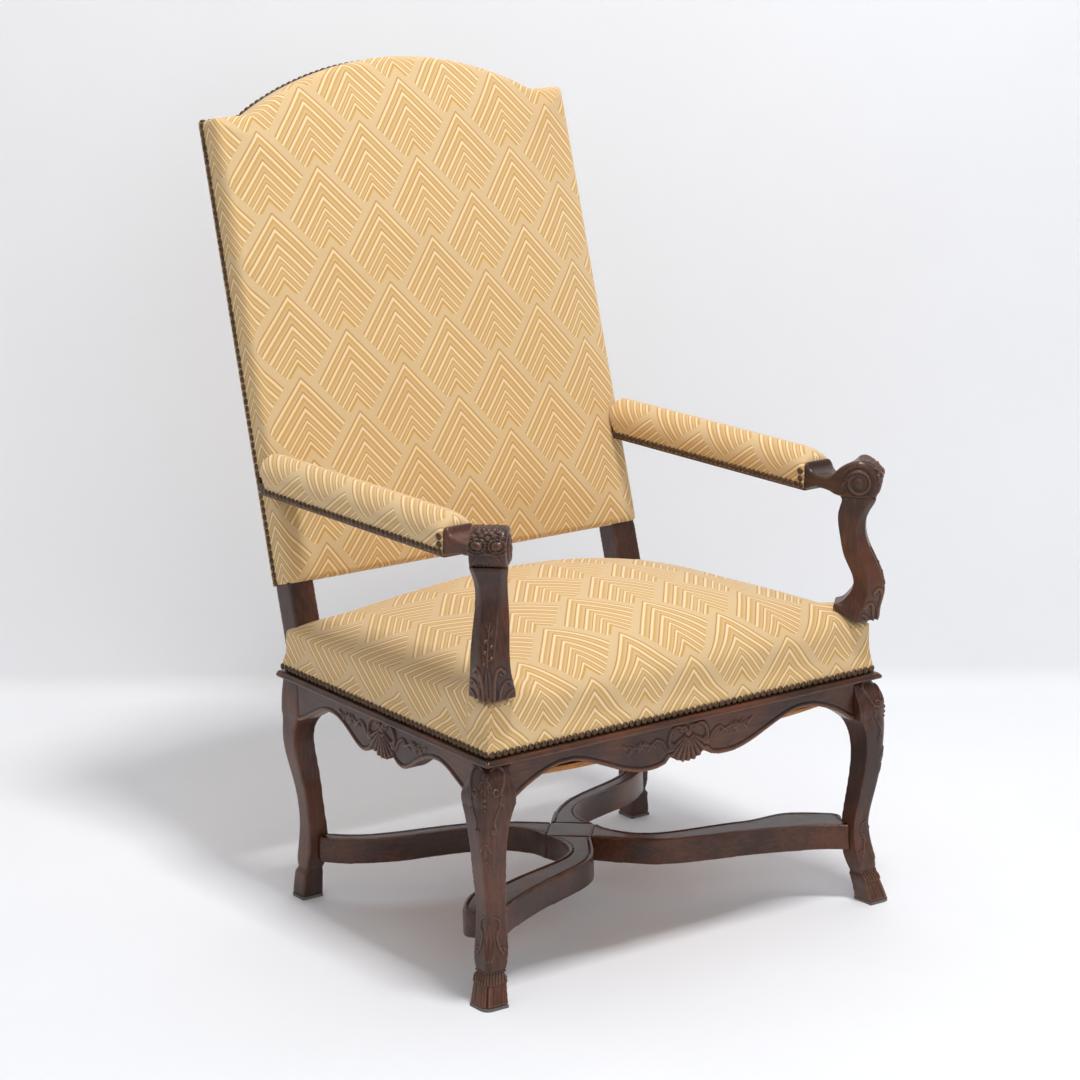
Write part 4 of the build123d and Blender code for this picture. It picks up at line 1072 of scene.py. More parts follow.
@dataclass
class ArmPad:
    """One padded armrest, with its heights above the arm's underside."""

    cloth: Material
    side: Side
    half: float = 0.0238
    bulge: float = 0.004  # of the sides
    low: float = 0.002
    shoulder: float = 0.034
    # Distance behind the moulding's front edge, and height of the top there
    tops: tuple = ((0.1065, 0.047), (0.114, 0.0525), (0.125, 0.0555), (0.145, 0.057), (0.62, 0.058))
    steps: int = 12
    rear: Size = (0.0, 0.142, FRAME_HALF + 0.0148)  # a spot on its end, in the back's frame
    loose: Spot = (0.006, 0.02)  # heights between which smoothing sets in
    rounds: int = 3
    nailed: float = 0.014
    puff: float = 0.003  # furthest that the cloth swells
    voxel: float = 0.004
    arm_middle: Spot = (0.4, 0.007)  # of the room for the arm, behind the front and up
    arm_half: Size = (0.0223, 0.4, 0.0093)
    wrap_middle: float = 0.02  # of the cloth's turn round the pad
    wrap: float = 0.036

    def ring(self, top: float) -> list[Spot]:
        """The pad's section, across and up."""
        wide = self.half + self.bulge
        rise = top - self.shoulder
        centre = (rise**2 - wide**2) / (2 * rise) + self.shoulder
        radius = top - centre
        start = math.atan2(self.shoulder - centre, wide)
        points = [(-self.half, self.low), (self.half, self.low)]
        for step in range(self.steps + 1):
            turn = start + (math.pi - 2 * start) * step / self.steps
            points.append((radius * math.cos(turn), centre + radius * math.sin(turn)))
        return points

    def build(self) -> Object:
        """Model, simulate and dress the pad, on the right and then mirrored."""
        rings = []
        for behind, top in self.tops:
            rings.append([(ARM_MIDDLE + x, FRONT + behind, ARM_LOW + z) for x, z in self.ring(top)])
        piece = loft(self.side.named("arm_pad"), rings)
        slice_off(piece.data, back_spot(*self.rear), -RAKED[2])
        tidy_normals(piece.data)
        remesh(piece, self.voxel)
        above = coordinates(piece.data)[:, 2] - ARM_LOW
        soften(piece.data, self.rounds, smooth(*self.loose, above))
        above = coordinates(piece.data)[:, 2] - ARM_LOW
        swell(piece, above < self.nailed, self.puff)
        subdivide(piece)
        behind, high = self.arm_middle
        arm = Vector((ARM_MIDDLE, FRONT + behind, ARM_LOW + high))
        cut_away(piece, [box(arm, SQUARE, self.arm_half)])
        if self.side is Side.LEFT:
            mirror(piece.data)
        flat = self.flat(coordinates(piece.data))
        nodes = (self.side.named("arm_pad"), self.side.named("arm_cover"))
        return upholster(piece, self.cloth, flat, nodes)

    def flat(self, points: Points) -> Points:
        """Cloth coordinates of points on the pad: round it, and along it."""
        across = points[:, 0] - self.side.value * ARM_MIDDLE
        turn = np.arctan2(across, points[:, 2] - ARM_LOW - self.wrap_middle)
        return np.stack([turn * self.wrap, points[:, 1] - FRONT], axis=-1)


# Wood


def polar(centre: Spot, reach: float, angle: float) -> Spot:
    """The chart point at a distance and an angle in radians from a centre."""
    return (centre[0] + reach * math.cos(angle), centre[1] + reach * math.sin(angle))


def curve(points: Sequence[Spot]) -> Points:
    """A smooth path through a few chart points."""
    path = np.array(points, dtype=float)
    padded = np.vstack([2 * path[0] - path[1], path, 2 * path[-1] - path[-2]])
    fine = []
    for a, b, c, d in zip(padded, padded[1:], padded[2:], padded[3:]):
        for share in np.linspace(0.0, 1.0, 6, endpoint=False):
            bend = (2 * a - 5 * b + 4 * c - d) * share**2 + (3 * b - a - 3 * c + d) * share**3
            fine.append(0.5 * (2 * b + (c - a) * share + bend))
    return np.array(fine + [path[-1]])


class Relief:
    """Carved ornament, drawn as strokes on a flat chart in metres."""

    def __init__(self) -> None:
        """Start with no strokes."""
        self.strokes: list[tuple[Points, Points, float]] = []

    def line(
        self, points: Iterable, half: float, height: float, taper: Spot = (1.0, 1.0), paired: bool = False
    ) -> None:
        """Add a ridge, or a groove where the height is negative.

        Args:
            points: the stroke's path.
            half: half of its width.
            height: how far it stands out.
            taper: share of the width at the start and the end.
            paired: also draw its mirror image.
        """
        path = np.array(points, dtype=float)
        halves = half * np.linspace(taper[0], taper[1], len(path))
        self.strokes.append((path, halves, height))
        if paired:
            self.strokes.append((path * np.array([-1.0, 1.0]), halves, height))

    def curl(
        self, centre: Spot, radius: float, start: float, turns: float, half: float, height: float,
        paired: bool = False, inner: float = 0.25,
    ) -> None:
        """Add a spiral that winds in towards its centre.

        Args:
            centre: the spiral's middle.
            radius: its outer radius.
            start: the angle in degrees from which it winds.
            turns: how often it goes round, clockwise where negative.
            half: half of the stroke's width.
            height: how far it stands out.
            paired: also draw its mirror image.
            inner: share of the radius at its end.
        """
        steps = max(8, int(abs(turns) * 20))
        path = []
        for share in np.linspace(0.0, 1.0, steps + 1):
            angle = math.radians(start) + 2 * math.pi * turns * share
            path.append(polar(centre, radius * (1 - (1 - inner) * share), angle))
        self.line(path, half, height, (1.0, 0.7), paired)

    def dome(self, centre: Spot, radius: float, height: float, paired: bool = False) -> None:
        """Add a round bead."""
        self.line([centre, (centre[0] + 1e-5, centre[1])], radius, height, paired=paired)

    def leaf(self, base: Spot, tip: Spot, half: float, height: float, paired: bool = False) -> None:
        """Add a pointed leaf with a rib cut down its middle."""
        shares = np.linspace(0.0, 1.0, 9)
        path = np.outer(1 - shares, base) + np.outer(shares, tip)
        halves = half * np.maximum(np.sin(np.pi * (0.12 + 0.88 * shares) ** 0.8), 0.08)
        rib = np.full(len(path), half * 0.22)
        for side in (1.0, -1.0) if paired else (1.0,):
            turned = path * np.array([side, 1.0])
            self.strokes.append((turned, halves, height))
            self.strokes.append((turned[1:-1], rib[1:-1], -0.6 * height))

    def flower(self, centre: Spot, radius: float, height: float, paired: bool = False) -> None:
        """Add five petals round a bud."""
        for petal in range(5):
            spot = polar(centre, radius * 0.6, math.radians(90 + 72 * petal))
            self.dome(spot, radius * 0.45, height, paired)
        self.dome(centre, radius * 0.3, height * 1.3, paired)

    def fan(
        self, hinge: Spot, reach: float, spread: float, ribs: int, half: float, height: float
    ) -> None:
        """Add a shell's ribs, spread downwards.

        Args:
            hinge: where the ribs would meet.
            reach: a rib's length from there.
            spread: angle between the outer ribs, in degrees.
            ribs: how many there are.
            half: half of a rib's width at its end.
            height: how far it stands out.
        """
        for rib in range(ribs):
            angle = math.radians(-90 + spread * (rib / (ribs - 1) - 0.5))
            ends = [polar(hinge, share * reach, angle) for share in (0.2, 1.0)]
            self.line(ends, half, height, (0.35, 1.0))

    def heights(self, chart: Points) -> Points:
        """How far the ornament stands out at each point of the chart."""
        up = np.zeros(len(chart))
        down = np.zeros(len(chart))
        for path, halves, height in self.strokes:
            reach = halves.max()
            inside = np.all((chart > path.min(0) - reach) & (chart < path.max(0) + reach), axis=1)
            near = np.nonzero(inside)[0]
            if not len(near):
                continue
            spot = chart[near]
            best = np.zeros(len(near))
            for index in range(len(path) - 1):
                first = path[index]
                along = path[index + 1] - first
                share = np.clip((spot - first) @ along / max(along @ along, 1e-14), 0.0, 1.0)
                gap = np.linalg.norm(spot - first - share[:, None] * along, axis=1)
                wide = halves[index] + (halves[index + 1] - halves[index]) * share
                best = np.maximum(best, 1 - (gap / wide) ** 2)
            if height > 0:
                up[near] = np.maximum(up[near], height * np.sqrt(np.clip(best, 0.0, 1.0)))
            else:
                down[near] = np.minimum(down[near], height * np.clip(best, 0.0, 1.0))
        return up + down


def edge_gap(face: Points, rim: Points) -> Points:
    """Distance of each chart point of a face from the nearest point of its rim."""
    tree = KDTree(len(rim))
    for index, spot in enumerate(rim):
        tree.insert((spot[0], spot[1], 0.0), index)
    tree.balance()
    return np.array([tree.find((spot[0], spot[1], 0.0))[2] for spot in face])


def bead(gap: Points, wide: float, height: float, groove: float) -> Points:
    """Profile of a rounded bead along a rim, with a groove inside it.

    Args:
        gap: distances from the rim.
        wide: the bead's width.
        height: how far it stands out.
        groove: the groove's depth.

    Returns:
        The height at each distance.
    """
    round_top = height * np.sqrt(np.clip(1 - ((gap - wide * 0.5) / (wide * 0.5)) ** 2, 0.0, 1.0))
    inside = -groove * np.clip(1 - ((gap - wide * 1.2) / (wide * 0.35)) ** 2, 0.0, 1.0)
    return np.where(gap < wide, round_top, inside)


@dataclass
class WoodPiece:
    """A visible wooden CAD node, with its edges eased."""

    node: str
    wood: Material
    voxel: float = 0.002
    ease: int = 3  # rounds of smoothing
    # Bend, easing and carved step that count as full wear, in voxels
    bend_wear: float = 0.22
    ease_wear: float = 0.9
    step_wear: float = 0.3

    def shape(self, points: Points) -> Points:
        """Move the points for forms beyond the plain node; none here."""
        return points

    def relief(self, points: Points, facing: Points) -> Points:
        """Height of the carving at each point; none here."""
        return np.zeros(len(points))

    def scuffing(self, points: Points) -> Points:
        """Further wear at each point; none here."""
        return np.zeros(len(points))

    def stock(self) -> Object:
        """A copy of the node's shape to carve from."""
        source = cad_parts[self.node]
        mesh = source.data.copy()
        mesh.transform(source.matrix_world)
        tidy_normals(mesh, 1e-5)
        return linked(self.node + "_carved", mesh)

    def build(self) -> Object:
        """Ease the node's shape, carve it and dress it."""
        piece = self.stock()
        remesh(piece, self.voxel)
        before = coordinates(piece.data)
        soften(piece.data, self.ease)
        after = coordinates(piece.data)
        facing = normals(piece.data)
        eased = np.einsum("ij,ij->i", before - after, facing)
        set_coordinates(piece.data, self.shape(after))
        after = coordinates(piece.data)
        facing = normals(piece.data)
        height = self.relief(after, facing)
        set_coordinates(piece.data, after + facing * height[:, None])
        self.rub(piece.data, eased, height)
        shade_smooth(piece)
        paint(piece, self.wood)
        return seated(piece, (self.node,))

    def rub(self, mesh: Mesh, eased: Points, height: Points) -> None:
        """Store where the wood is worn, above 0, and where it is grimy, below 0.

        Args:
            mesh: the carved mesh.
            eased: how much smoothing took off at each point.
            height: how far the carving stands out there.
        """
        final = coordinates(mesh)
        facing = normals(mesh)
        pairs = edge_pairs(mesh)
        bend = np.einsum("ij,ij->i", final - neighbour_mean(final, pairs), facing)
        step = height - neighbour_mean(height[:, None], pairs)[:, 0]
        wear = bend / self.bend_wear + eased / self.ease_wear + step / self.step_wear
        wear = wear / self.voxel
        for _ in range(2):
            wear = 0.5 * wear + 0.5 * neighbour_mean(wear[:, None], pairs)[:, 0]
        wear = np.clip(wear, -1.0, 1.0) + self.scuffing(final)
        store(mesh, "wear", np.clip(wear, -1.0, 1.0))

    def twin(self, piece: Object, node: str) -> Object:
        """The piece's mirror image, for the other side's node."""
        mesh = piece.data.copy()
        mirror(mesh)
        return seated(linked(node + "_carved", mesh), (node,))


def diagonal(points: Points, corner: Vector) -> tuple[Points, Points]:
    """Distances outwards and sideways from a corner, along the chair's diagonal."""
    x = points[:, 0] - corner.x
    y = points[:, 1] - corner.y
    return (x - y) * ROOT_HALF, (x + y) * ROOT_HALF


@dataclass
class FrontLeg(WoodPiece):
    """A cabriole front leg with a carved knee, lappets and a cloven hoof."""

    voxel: float = 0.0013
    scroll: float = 0.0018  # half width of the scrolls
    high: float = 0.0019  # of the carving
    spread: float = 1.32  # of the carving's chart round the nose
    lowering: float = 0.0045  # of the knee's carving, under the moulding
    knee: Spot = (0.286, 0.325)  # heights between which it runs into the aprons
    knee_share: float = 0.7
    apron_front: float = 0.0105  # behind the moulding's front edge
    apron_side: float = 0.3295
    inner_run: Spot = (0.295, 0.312)  # where the knee leaves the front apron
    rear_run: Spot = (0.032, 0.049)  # where it meets the side apron
    scuff: float = 0.5
    scuff_run: Spot = (0.026, 0.040)  # heights between which the scuffing ends

    def ornament(self) -> Relief:
        """The carving, across the leg's nose and up."""
        carve = Relief()
        half, high = self.scroll, self.high
        collar = [(0.007, 0.3285), (0.017, 0.3305), (0.0265, 0.324)]
        collar += [(0.029, 0.311), (0.025, 0.300), (0.018, 0.2965)]
        carve.line(curve(collar), half, high, (0.7, 1.0), True)
        carve.curl((0.0185, 0.3015), 0.005, -90, -1.2, half * 0.8, high, True)
        edge = [(0.0265, 0.298), (0.0245, 0.284), (0.020, 0.271), (0.0155, 0.260), (0.0165, 0.250)]
        carve.line(curve(edge), half * 0.9, high * 0.9, (0.6, 1.0), True)
        carve.leaf((0.024, 0.288), (0.031, 0.275), 0.0026, high * 0.8, True)
        carve.curl((0.0135, 0.2455), 0.004, 40, -1.3, half * 0.8, high, True)
        carve.dome((0.0135, 0.2455), 0.0017, high, True)
        carve.dome((0.0, 0.3205), 0.0058, 0.0026)
        for reach, drop in ((0.0, 0.0215), (0.007, 0.019), (0.012, 0.013)):
            carve.leaf((reach * 0.3, 0.3155), (reach, 0.3185 - drop), 0.0026, high, True)
        for spot, radius in ((0.2925, 0.0033), (0.2845, 0.0030), (0.2775, 0.0024)):
            carve.dome((0.0, spot), radius, 0.0019)
        carve.leaf((0.0, 0.229), (0.0, 0.207), 0.0030, high * 0.8)
        carve.leaf((0.002, 0.228), (0.010, 0.214), 0.0026, high * 0.8, True)
        carve.leaf((0.0, 0.204), (0.0, 0.190), 0.0024, high * 0.6)
        carve.leaf((0.001, 0.204), (0.006, 0.195), 0.0019, high * 0.6, True)
        lappet = [(0.008, 0.121), (0.015, 0.116), (0.0165, 0.105)]
        lappet += [(0.0125, 0.094), (0.0165, 0.080), (0.022, 0.070)]
        carve.line(curve(lappet), half, high * 0.8, (0.5, 1.0), True)
        carve.curl((0.021, 0.0745), 0.0042, -60, 1.1, half * 0.8, high * 0.8, True)
        carve.curl((0.0155, 0.0985), 0.0038, 60, 1.1, half * 0.7, high * 0.7, True)
        carve.leaf((0.0, 0.064), (0.0, 0.112), 0.0055, high * 0.8)
        carve.leaf((0.004, 0.062), (0.010, 0.089), 0.0032, high * 0.7, True)
        for tuft in range(-8, 9):
            side = tuft * 0.0044
            carve.line([(side * 0.95, 0.0475), (side * 1.06, 0.0335)], 0.0020, 0.0021, (0.4, 1.0))
        carve.line([(0.0, 0.031), (0.0, 0.004)], 0.0026, -0.0030, (0.6, 1.0))
        for side in (0.010, 0.021):
            carve.line([(side, 0.030), (side * 1.12, 0.005)], 0.0014, -0.0006, paired=True)
        return carve

    def shape(self, points: Points) -> Points:
        """Let the knee run out into the aprons on both sides."""
        x, y = points[:, 0], points[:, 1] - FRONT
        high = self.knee_share * smooth(*self.knee, points[:, 2])
        inward = 1 - smooth(*self.inner_run, x)
        rearward = smooth(*self.rear_run, y)
        moved = points.copy()
        moved[:, 1] += np.maximum(0.0, self.apron_front - y) * inward * high
        moved[:, 0] -= np.maximum(0.0, x - self.apron_side) * rearward * high
        return moved

    def relief(self, points: Points, facing: Points) -> Points:
        """Carving on the two outer faces and the nose."""
        _, side = diagonal(points, FRONT_CORNER)
        ahead = (facing[:, 0] - facing[:, 1]) * ROOT_HALF
        lowered = points[:, 2] + self.lowering * smooth(0.24, 0.30, points[:, 2])
        chart = np.stack([side * self.spread, lowered], axis=-1)
        return self.ornament().heights(chart) * smooth(0.05, 0.35, ahead)

    def scuffing(self, points: Points) -> Points:
        """Wear of the hoof."""
        return self.scuff * (1 - smooth(*self.scuff_run, points[:, 2]))


@dataclass
class ArmSupport(WoodPiece):
    """A curved arm support with a flower stem up its nose and a leafed foot."""

    voxel: float = 0.0012
    low: float = 0.415
    joint: float = 0.007  # how far its top stands above the arm's underside
    joint_run: float = 0.05
    foot_run: float = 0.034  # height over which the foot's slope fades out
    # How far the nose stands out, at shares of the height
    noses: tuple[float, ...] = (0.033, 0.035, 0.039, 0.041, 0.035, 0.023, 0.015, 0.019, 0.029)
    shares: tuple[float, ...] = (0.0, 0.1, 0.2, 0.32, 0.45, 0.6, 0.76, 0.88, 1.0)
    blunting: float = 0.00105  # of the nose's corners

    def shape(self, points: Points) -> Points:
        """Round the nose, bring the top up to the scroll and set the foot on the seat."""
        out, side = diagonal(points, SUPPORT_AXIS)
        share = np.clip((points[:, 2] - self.low) / (ARM_LOW - self.low), 0.0, 1.0)
        nose = np.interp(share, self.shares, self.noses)
        body = points[:, 2] > self.low - 0.0007
        blunt = smooth(0.004, 0.016, np.abs(side)) * smooth(0.016, 0.0, nose - out)
        push = np.where(body, self.blunting * blunt * ROOT_HALF, 0.0)
        slope = 1 - smooth(self.low, self.low + self.foot_run, points[:, 2])
        lift = (foot_base(out) - self.low) * slope
        lift += self.joint * smooth(ARM_LOW - self.joint_run, ARM_LOW, points[:, 2])
        moved = points.copy()
        moved[:, 0] += push
        moved[:, 1] -= push
        moved[:, 2] += np.where(body, lift, 0.0)
        return moved

    def ornament(self) -> Relief:
        """The carving on the front, across and up."""
        carve = Relief()
        stem = curve([(0.0, 0.462), (0.0008, 0.487), (-0.0004, 0.520)])
        carve.line(stem, 0.0017, 0.0019, (1.0, 0.4))
        buds = ((0.0042, 0.498), (-0.0040, 0.492), (0.0042, 0.485), (-0.0045, 0.478), (0.004, 0.471))
        for side, spot in buds:
            carve.dome((side, spot), 0.0028, 0.0021)
            carve.line([(0.0, spot - 0.004), (side, spot)], 0.0011, 0.0014)
        carve.leaf((0.001, 0.510), (0.005, 0.519), 0.0018, 0.0014)
        carve.leaf((-0.001, 0.505), (-0.005, 0.514), 0.0018, 0.0014)
        carve.leaf((0.0, 0.420), (0.0, 0.472), 0.0068, 0.0026)
        carve.line([(0.0026, 0.414), (0.0026, 0.460)], 0.0011, 0.0014, (1.0, 0.5), True)
        lobe = [(0.0065, 0.414), (0.0075, 0.440), (0.0100, 0.457), (0.0145, 0.4635), (0.0185, 0.459)]
        carve.line(curve(lobe), 0.0023, 0.0025, (0.6, 1.0), True)
        carve.curl((0.0165, 0.4570), 0.0034, 60, -1.0, 0.0015, 0.0023, True)
        lobe = [(0.012, 0.414), (0.0145, 0.433), (0.0190, 0.443), (0.0240, 0.4445), (0.0265, 0.439)]
        carve.line(curve(lobe), 0.0022, 0.0023, (0.6, 1.0), True)
        lobe = curve([(0.019, 0.414), (0.0215, 0.424), (0.0265, 0.429)])
        carve.line(lobe, 0.0020, 0.0018, (0.7, 1.0), True)
        carve.line([(0.0102, 0.414), (0.0120, 0.446)], 0.0011, -0.0012, (1.0, 0.5), True)
        return carve

    def relief(self, points: Points, facing: Points) -> Points:
        """Carving on the front face."""
        _, side = diagonal(points, SUPPORT_AXIS)
        ahead = (facing[:, 0] - facing[:, 1]) * ROOT_HALF
        chart = np.stack([side, points[:, 2]], axis=-1)
        return self.ornament().heights(chart) * smooth(0.25, 0.5, ahead)


@dataclass
class Arm(WoodPiece):
    """An arm whose collar sweeps through a hollowed neck into a carved scroll."""

    voxel: float = 0.0014
    radius: float = 0.0300
    reach: float = 0.006  # of the scroll's centre out from the support's axis
    height: float = 0.6165  # of the scroll's centre
    joint: float = 0.5951  # the scroll's seat on the support
    collar_back: float = 0.1075  # behind the moulding's front edge
    overlap: float = 0.001  # of the head and the rail behind it
    handles: Spot = (0.026, 0.034)  # of the middle line's curve, at the scroll and the collar
    half: float = 0.0255  # of the scroll's width
    taper: float = 0.0015
    steps: int = 16
    chamfer: float = 0.004  # of the head's upper edges
    lift: float = 0.009  # of the carving round the scroll
    wrap: float = 0.035  # radius by which the carving is laid round it
    # Along the head back from the scroll's centre: distance, underside, top, half width
    neck: tuple = (
        (0.088, 0.5920, 0.6290, 0.0236),
        (0.0855, 0.5920, 0.6298, 0.0236),
        (0.083, 0.5925, 0.6268, 0.0234),
        (0.080, 0.5935, 0.6215, 0.0230),
        (0.075, 0.5955, 0.6175, 0.0222),
        (0.067, 0.5978, 0.6158, 0.0214),
        (0.057, 0.5988, 0.6160, 0.0210),
        (0.049, 0.5990, 0.6165, 0.0208),
        (0.042, 0.5990, 0.6180, 0.0208),
        (0.035, 0.5980, 0.6215, 0.0212),
        (0.028, 0.5960, 0.6280, 0.0222),
        (0.021, 0.5951, 0.6350, 0.0236),
        (0.014, 0.5951, 0.6405, 0.0248),
        (0.007, 0.5951, 0.6445, 0.0254),
    )

    @property
    def centre(self) -> Vector:
        """Centre of the scroll."""
        return SUPPORT_AXIS + OUTWARD * self.reach + Vector((0.0, 0.0, self.height))

    def path(self, reach: float) -> tuple[Vector, Vector]:
        """A spot on the head's middle line and the way across there.

        Args:
            reach: distance along the line back from the scroll's centre.

        Returns:
            The level spot and the unit vector to the right.
        """
        start = SUPPORT_AXIS + OUTWARD * self.reach
        if reach <= 0:
            return start - OUTWARD * reach, SIDEWAYS.copy()
        end = Vector((ARM_MIDDLE, FRONT + self.collar_back, 0.0))
        near = start - OUTWARD * self.handles[0]
        far = end - Vector((0.0, self.handles[1], 0.0))
        share = min(reach / self.neck[0][0], 1.0)
        rest = 1 - share
        spot = start * rest**3 + near * (3 * rest**2 * share)
        spot = spot + far * (3 * rest * share**2) + end * share**3
        ahead = (start - near) * rest**2 + (near - far) * (2 * rest * share)
        ahead = (ahead + (far - end) * share**2).normalized()
        return spot, Vector((-ahead.y, ahead.x, 0.0))

    def slices(self) -> list[tuple[float, float, float, float]]:
        """The head's slices from the collar to the scroll's front."""
        made = list(self.neck)
        for step in range(self.steps + 1):
            turn = math.pi / 2 * step / self.steps
            high = self.radius * math.cos(turn)
            low = max(self.joint, self.centre.z - high)
            top = max(self.centre.z + high, low + 0.0004)
            half = self.half - self.taper * step / self.steps
            made.append((-self.radius * math.sin(turn), low, top, half))
        return made

    def stock(self) -> Object:
        """The node's rail with a head lofted on to its front."""
        piece = super().stock()
        front = Vector((0.0, FRONT + self.collar_back - self.overlap, 0.0))
        slice_off(piece.data, front, Vector((0.0, -1.0, 0.0)))
        rings = []
        for reach, low, top, half in self.slices():
            spot, across = self.path(reach)
            ease = min(self.chamfer, 0.3 * (top - low))
            ring = [(-half, low), (half, low), (half, top - ease), (half - ease, top)]
            ring += [(ease - half, top), (-half, top - ease)]
            rings.append([spot + across * aside + Vector((0.0, 0.0, high)) for aside, high in ring])
        head = loft("head", rings)
        work = bmesh.new()
        work.from_mesh(piece.data)
        work.from_mesh(head.data)
        work.to_mesh(piece.data)
        work.free()
        bpy.data.objects.remove(head)
        return piece

    def around(self, points: Points) -> tuple[Points, Points, Points]:
        """Radius, angle and sideways distance about the scroll's axis."""
        out, side = diagonal(points, self.centre)
        above = points[:, 2] - self.centre.z
        return np.hypot(out, above), np.arctan2(above, out), side

    def ornament(self) -> Relief:
        """The carving over the scroll's front, across and round upwards."""
        carve = Relief()
        for turn in range(16):
            angle = 2 * math.pi * turn / 16
            spot = (0.0128 + 0.0106 * math.cos(angle), 0.001 + 0.0092 * math.sin(angle))
            carve.dome(spot, 0.0021, 0.0028, True)
        carve.line([(0.0112, 0.0005), (0.0146, 0.0015)], 0.0066, 0.0054, paired=True)
        flowers = ((0.0, 0.0125), (0.0085, 0.0165), (0.0185, 0.0150), (0.0035, 0.0215), (0.0135, 0.0235))
        for spot in flowers:
            carve.flower(spot, 0.0040, 0.0022, True)
        for side, spot in ((0.0, 0.032), (0.008, 0.033), (0.016, 0.031)):
            carve.leaf((side * 0.8, spot - 0.006), (side * 1.15, spot + 0.014), 0.0040, 0.0020, True)
        for rib in range(5):
            side = rib * 0.0052
            carve.leaf((side * 0.35, -0.0105), (side * 1.05, -0.0335), 0.0032, 0.0021, True)
        brow = [(0.004, -0.0095), (0.013, -0.0125), (0.022, -0.0100), (0.025, -0.003)]
        carve.line(curve(brow), 0.0015, 0.0018, paired=True)
        return carve

    def volute(self) -> Relief:
        """The spiral on the scroll's ends."""
        carve = Relief()
        carve.curl((0.0, -0.001), 0.0178, 165, -1.1, 0.0021, 0.0019, inner=0.72)
        carve.curl((0.0, -0.001), 0.0220, 165, -1.1, 0.0030, -0.0010, inner=0.80)
        carve.dome((0.0, -0.001), 0.0076, 0.0030)
        carve.line([(-0.0150, 0.004), (-0.022, -0.004), (-0.024, -0.016)], 0.0019, 0.0018, (1.0, 0.5))
        return carve

    def relief(self, points: Points, facing: Points) -> Points:
        """Carving on the scroll's front and ends."""
        reach, turn, side = self.around(points)
        rim = smooth(0.0265, 0.0285, reach) * smooth(0.0345, 0.0315, reach)
        front = np.stack([side, turn * self.wrap - self.lift], axis=-1)
        mask = smooth(0.0268, 0.0240, np.abs(side)) * rim * smooth(-1.0, -0.85, turn)
        carved = self.ornament().heights(front) * mask * smooth(2.2, 1.7, turn)
        out, _ = diagonal(points, self.centre)
        ends = np.stack([out, points[:, 2] - self.centre.z], axis=-1)
        beside = np.abs(facing[:, 0] + facing[:, 1]) * ROOT_HALF
        on_end = smooth(0.75, 0.92, beside) * (np.abs(side) > 0.019) * smooth(0.0290, 0.0275, reach)
        return carved + self.volute().heights(ends) * on_end


@dataclass
class Apron(WoodPiece):
    """A scalloped seat apron with a shell, scrolls and sprigs."""

    voxel: float = 0.0015
    facing_way: Spot = (0.0, -1.0)
    middle: float = 0.0  # of a side apron, behind the moulding's front edge
    drop: float = 0.065  # of the shell's tip below the rails' tops
    high: float = 0.0024  # of the carving
    shell_half: float = 0.029
    lip: Size = (0.0052, 0.0016, 0.0010)  # width, height and groove along the lower edge
    lip_depth: float = 0.012

    def chart(self, points: Points) -> Points:
        """Distance along the apron from its middle, and height."""
        along = points[:, 0] if self.facing_way[0] == 0 else points[:, 1] - FRONT - self.middle
        return np.stack([along, points[:, 2]], axis=-1)

    def ornament(self) -> Relief:
        """The carving, along the apron and up."""
        carve = Relief()
        high = self.high
        base = RAIL_TOP - self.drop
        hinge = (0.0, base + 0.040)

        def vine(points: Sequence[Spot], half: float, height: float, taper: Spot) -> None:
            """A pair of smooth strokes with heights above the shell's tip."""
            carve.line(curve([(x, base + y) for x, y in points]), half, height, taper, True)

        carve.fan(hinge, 0.038, 118, 9, 0.0034, high)
        carve.dome(hinge, 0.0055, high * 1.2)
        carve.curl((0.0085, base + 0.0455), 0.0052, 200, -1.2, 0.0020, high, True)
        frame_scroll = [(0.012, 0.049), (0.021, 0.051), (0.030, 0.044), (0.033, 0.031), (0.027, 0.021)]
        vine(frame_scroll, 0.0026, high * 1.15, (0.7, 1.0))
        carve.curl((0.0290, base + 0.0255), 0.0050, -110, 1.2, 0.0021, high * 1.1, True)
        spray = [(0.036, 0.022), (0.044, 0.034), (0.054, 0.039), (0.062, 0.034)]
        vine(spray, 0.0019, high * 0.8, (1.0, 0.6))
        stem = [(0.056, 0.030), (0.072, 0.036), (0.088, 0.034), (0.108, 0.040)]
        vine(stem, 0.0014, high * 0.6, (1.0, 0.5))
        carve.flower((0.082, base + 0.0355), 0.0062, high * 0.8, True)
        for step in range(6):
            along = 0.062 + step * 0.0085
            sway = 1 if step % 2 else -1
            root = (along, base + 0.0345)
            carve.leaf(root, (along + 0.008, base + 0.0345 + sway * 0.0085), 0.0024, high * 0.6, True)
        carve.dome((0.110, base + 0.0405), 0.0022, high * 0.7, True)
        return carve

    def relief(self, points: Points, facing: Points) -> Points:
        """Ornament and the lip along the lower edge, on the outer face."""
        ahead = facing[:, :2] @ np.array(self.facing_way)
        depth = points[:, :2] @ np.array(self.facing_way)
        chart = self.chart(points)
        face = ahead > 0.55
        under = (facing[:, 2] < -0.35) & (ahead < 0.55)
        under &= depth > depth[face].max() - self.lip_depth
        gap = edge_gap(chart[face], chart[under])
        carved = self.ornament().heights(chart[face])
        lip = bead(gap, *self.lip)
        shell = np.abs(chart[face][:, 0]) < self.shell_half
        height = np.zeros(len(points))
        height[face] = np.where(shell, carved, np.maximum(carved, lip) + np.minimum(lip, 0.0))
        return height


